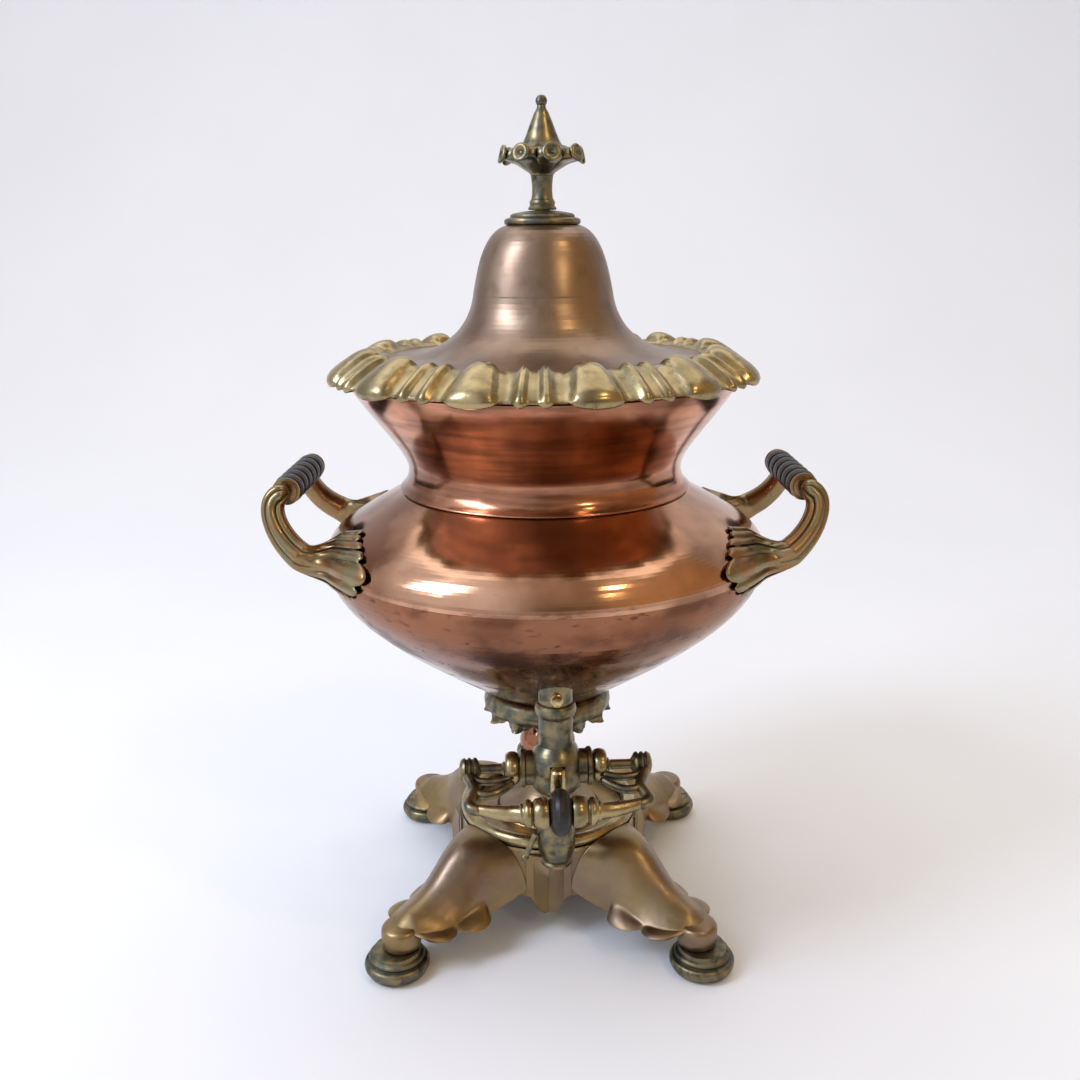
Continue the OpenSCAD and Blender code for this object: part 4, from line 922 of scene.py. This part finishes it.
# Name, place, aim, width, height, watts and colour of each lamp
LAMPS = (
    ("window", (-1.2, -0.56, 1.32), (0, 0, 0.27), 0.55, 0.9, 16, "#dfe8ff"),
    ("back_light", (0.0, 0.9, 2.6), (0, 0, 0.2), 3.2, 2.2, 24, "#ffffff"),
    ("bulb_high", (0.62, -0.56, 1.40), (0, 0, 0.25), 0.08, 0.08, 1.6, "#ffe2b0"),
    ("bulb_low", (0.66, -0.93, 0.98), (0, 0, 0.25), 0.07, 0.07, 1.2, "#ffe2b0"))
SENSOR, LENS, LENS_SHIFT = 36.0, 35.42, -0.0051
CAMERA_AT, CAMERA_PITCH, CAMERA_ROLL = (0, -0.637, 0.4216), 15.75, -0.55


class UrnStage(bpy.types.Operator):
    """Sets the floor, the lamps, the surroundings and the camera"""

    bl_idname = "urn.stage"
    bl_label = "Stage"

    def execute(self, context):
        clear()
        bpy.ops.mesh.primitive_plane_add(size=1)
        floor = named("paper_floor")
        for vertex in floor.data.vertices:
            vertex.co = (vertex.co.x * FLOOR_WIDTH,
                         FLOOR_BACK if vertex.co.y > 0 else FLOOR_FRONT, 0)
        bpy.ops.object.mode_set(mode="EDIT")
        bpy.ops.mesh.select_all(action="DESELECT")
        bpy.ops.mesh.select_mode(type="EDGE")
        bpy.ops.object.mode_set(mode="OBJECT")
        for edge in floor.data.edges:
            edge.select = all(floor.data.vertices[i].co.y > 0 for i in edge.vertices)
        bpy.ops.object.mode_set(mode="EDIT")
        bpy.ops.mesh.extrude_region_move(TRANSFORM_OT_translate={"value": (0, 0, BACKDROP)})
        bpy.ops.object.mode_set(mode="OBJECT")
        modify(floor, "BEVEL", width=COVE, segments=16, limit_method="ANGLE")
        bpy.ops.object.shade_smooth()
        # Seamless white paper, matt and very slightly uneven
        tree, coords = started("studio_paper")
        finished(tree, Base_Color=coated(
            tree, linear("#f0f3f7"), (patches(tree, coords["Object"], 300), linear("#edf0f4"))),
            Roughness=0.9, Specular_IOR_Level=0.1)
        floor.data.materials.append(bpy.data.materials["studio_paper"])

        for name, place, aim, width, height, watts, tone in LAMPS:
            lamp = bpy.data.lights.new(name, "AREA")
            lamp.shape, lamp.size, lamp.size_y = "RECTANGLE", width, height
            lamp.energy, lamp.color = watts, linear(tone)[:3]
            holder = bpy.data.objects.new(name, lamp)
            context.scene.collection.objects.link(holder)
            holder.location = place
            holder.rotation_euler = (Vector(aim) - Vector(place)).to_track_quat(
                "-Z", "Y").to_euler()

        world = context.scene.world or bpy.data.worlds.new("room")
        context.scene.world = world
        world.use_nodes = True
        tree = world.node_tree
        tree.nodes.clear()
        aside, _, height = add(tree, "ShaderNodeSeparateXYZ", {
            0: add(tree, "ShaderNodeTexCoord").outputs["Generated"]}).outputs
        # A dim room at eye level under paler walls, daylight on the left, a lamp-lit wall on
        # the right and a darker stretch between them
        walls, day, right = [
            add(tree, "ShaderNodeMapRange", {"Value": way, "From Min": start, "From Max": end},
                interpolation_type="SMOOTHSTEP").outputs[0]
            for way, start, end in ((height, 0.0, 0.5), (aside, 0.06, -0.45),
                                    (aside, 0.2, 0.8))]
        tone = coated(tree, linear("#8c7f74"), (walls, linear("#b3a594")),
                      (right, linear("#c09f78")), (day, linear("#eef3ff")))
        sky = add(tree, "ShaderNodeBackground", {"Color": tone, "Strength": 1.0})
        add(tree, "ShaderNodeOutputWorld", {"Surface": sky.outputs[0]})

        camera = bpy.data.objects.new("camera", bpy.data.cameras.new("camera"))
        context.scene.collection.objects.link(camera)
        camera.data.sensor_width, camera.data.lens = SENSOR, LENS
        camera.data.shift_x = LENS_SHIFT
        turn = (Matrix.Rotation(math.radians(90 - CAMERA_PITCH), 4, "X")
                @ Matrix.Rotation(math.radians(CAMERA_ROLL), 4, "Z"))
        camera.matrix_world = Matrix.Translation(CAMERA_AT) @ turn
        context.scene.camera = camera
        context.scene.view_settings.view_transform = "Standard"
        return {"FINISHED"}


class UrnPanel(bpy.types.Panel):
    """Lists the urn's pieces and their settings"""

    bl_idname = "VIEW3D_PT_urn"
    bl_label = "Tea urn"
    bl_space_type = "VIEW_3D"
    bl_region_type = "UI"
    bl_category = "Tea urn"

    def draw(self, context):
        for group in (context.scene.urn_sizes, context.scene.urn_colours):
            for name in group.__annotations__:
                self.layout.prop(group, name)
        for operator in OPERATORS:
            self.layout.operator(operator.bl_idname)


OPERATORS = (UrnFinishes, UrnRim, UrnNeck, UrnLegs, UrnHandles, UrnCollar, UrnFinial,
             UrnKey, UrnStage)
CLASSES = (UrnSizes, UrnColours) + OPERATORS + (UrnPanel,)


def register():
    for part in CLASSES:
        bpy.utils.register_class(part)
    bpy.types.Scene.urn_sizes = bpy.props.PointerProperty(type=UrnSizes)
    bpy.types.Scene.urn_colours = bpy.props.PointerProperty(type=UrnColours)


def unregister():
    del bpy.types.Scene.urn_colours
    del bpy.types.Scene.urn_sizes
    for part in reversed(CLASSES):
        bpy.utils.unregister_class(part)


def main():
    register()
    for operator in OPERATORS:
        group, call = operator.bl_idname.split(".")
        getattr(getattr(bpy.ops, group), call)()


if __name__ == "__main__":
    main()
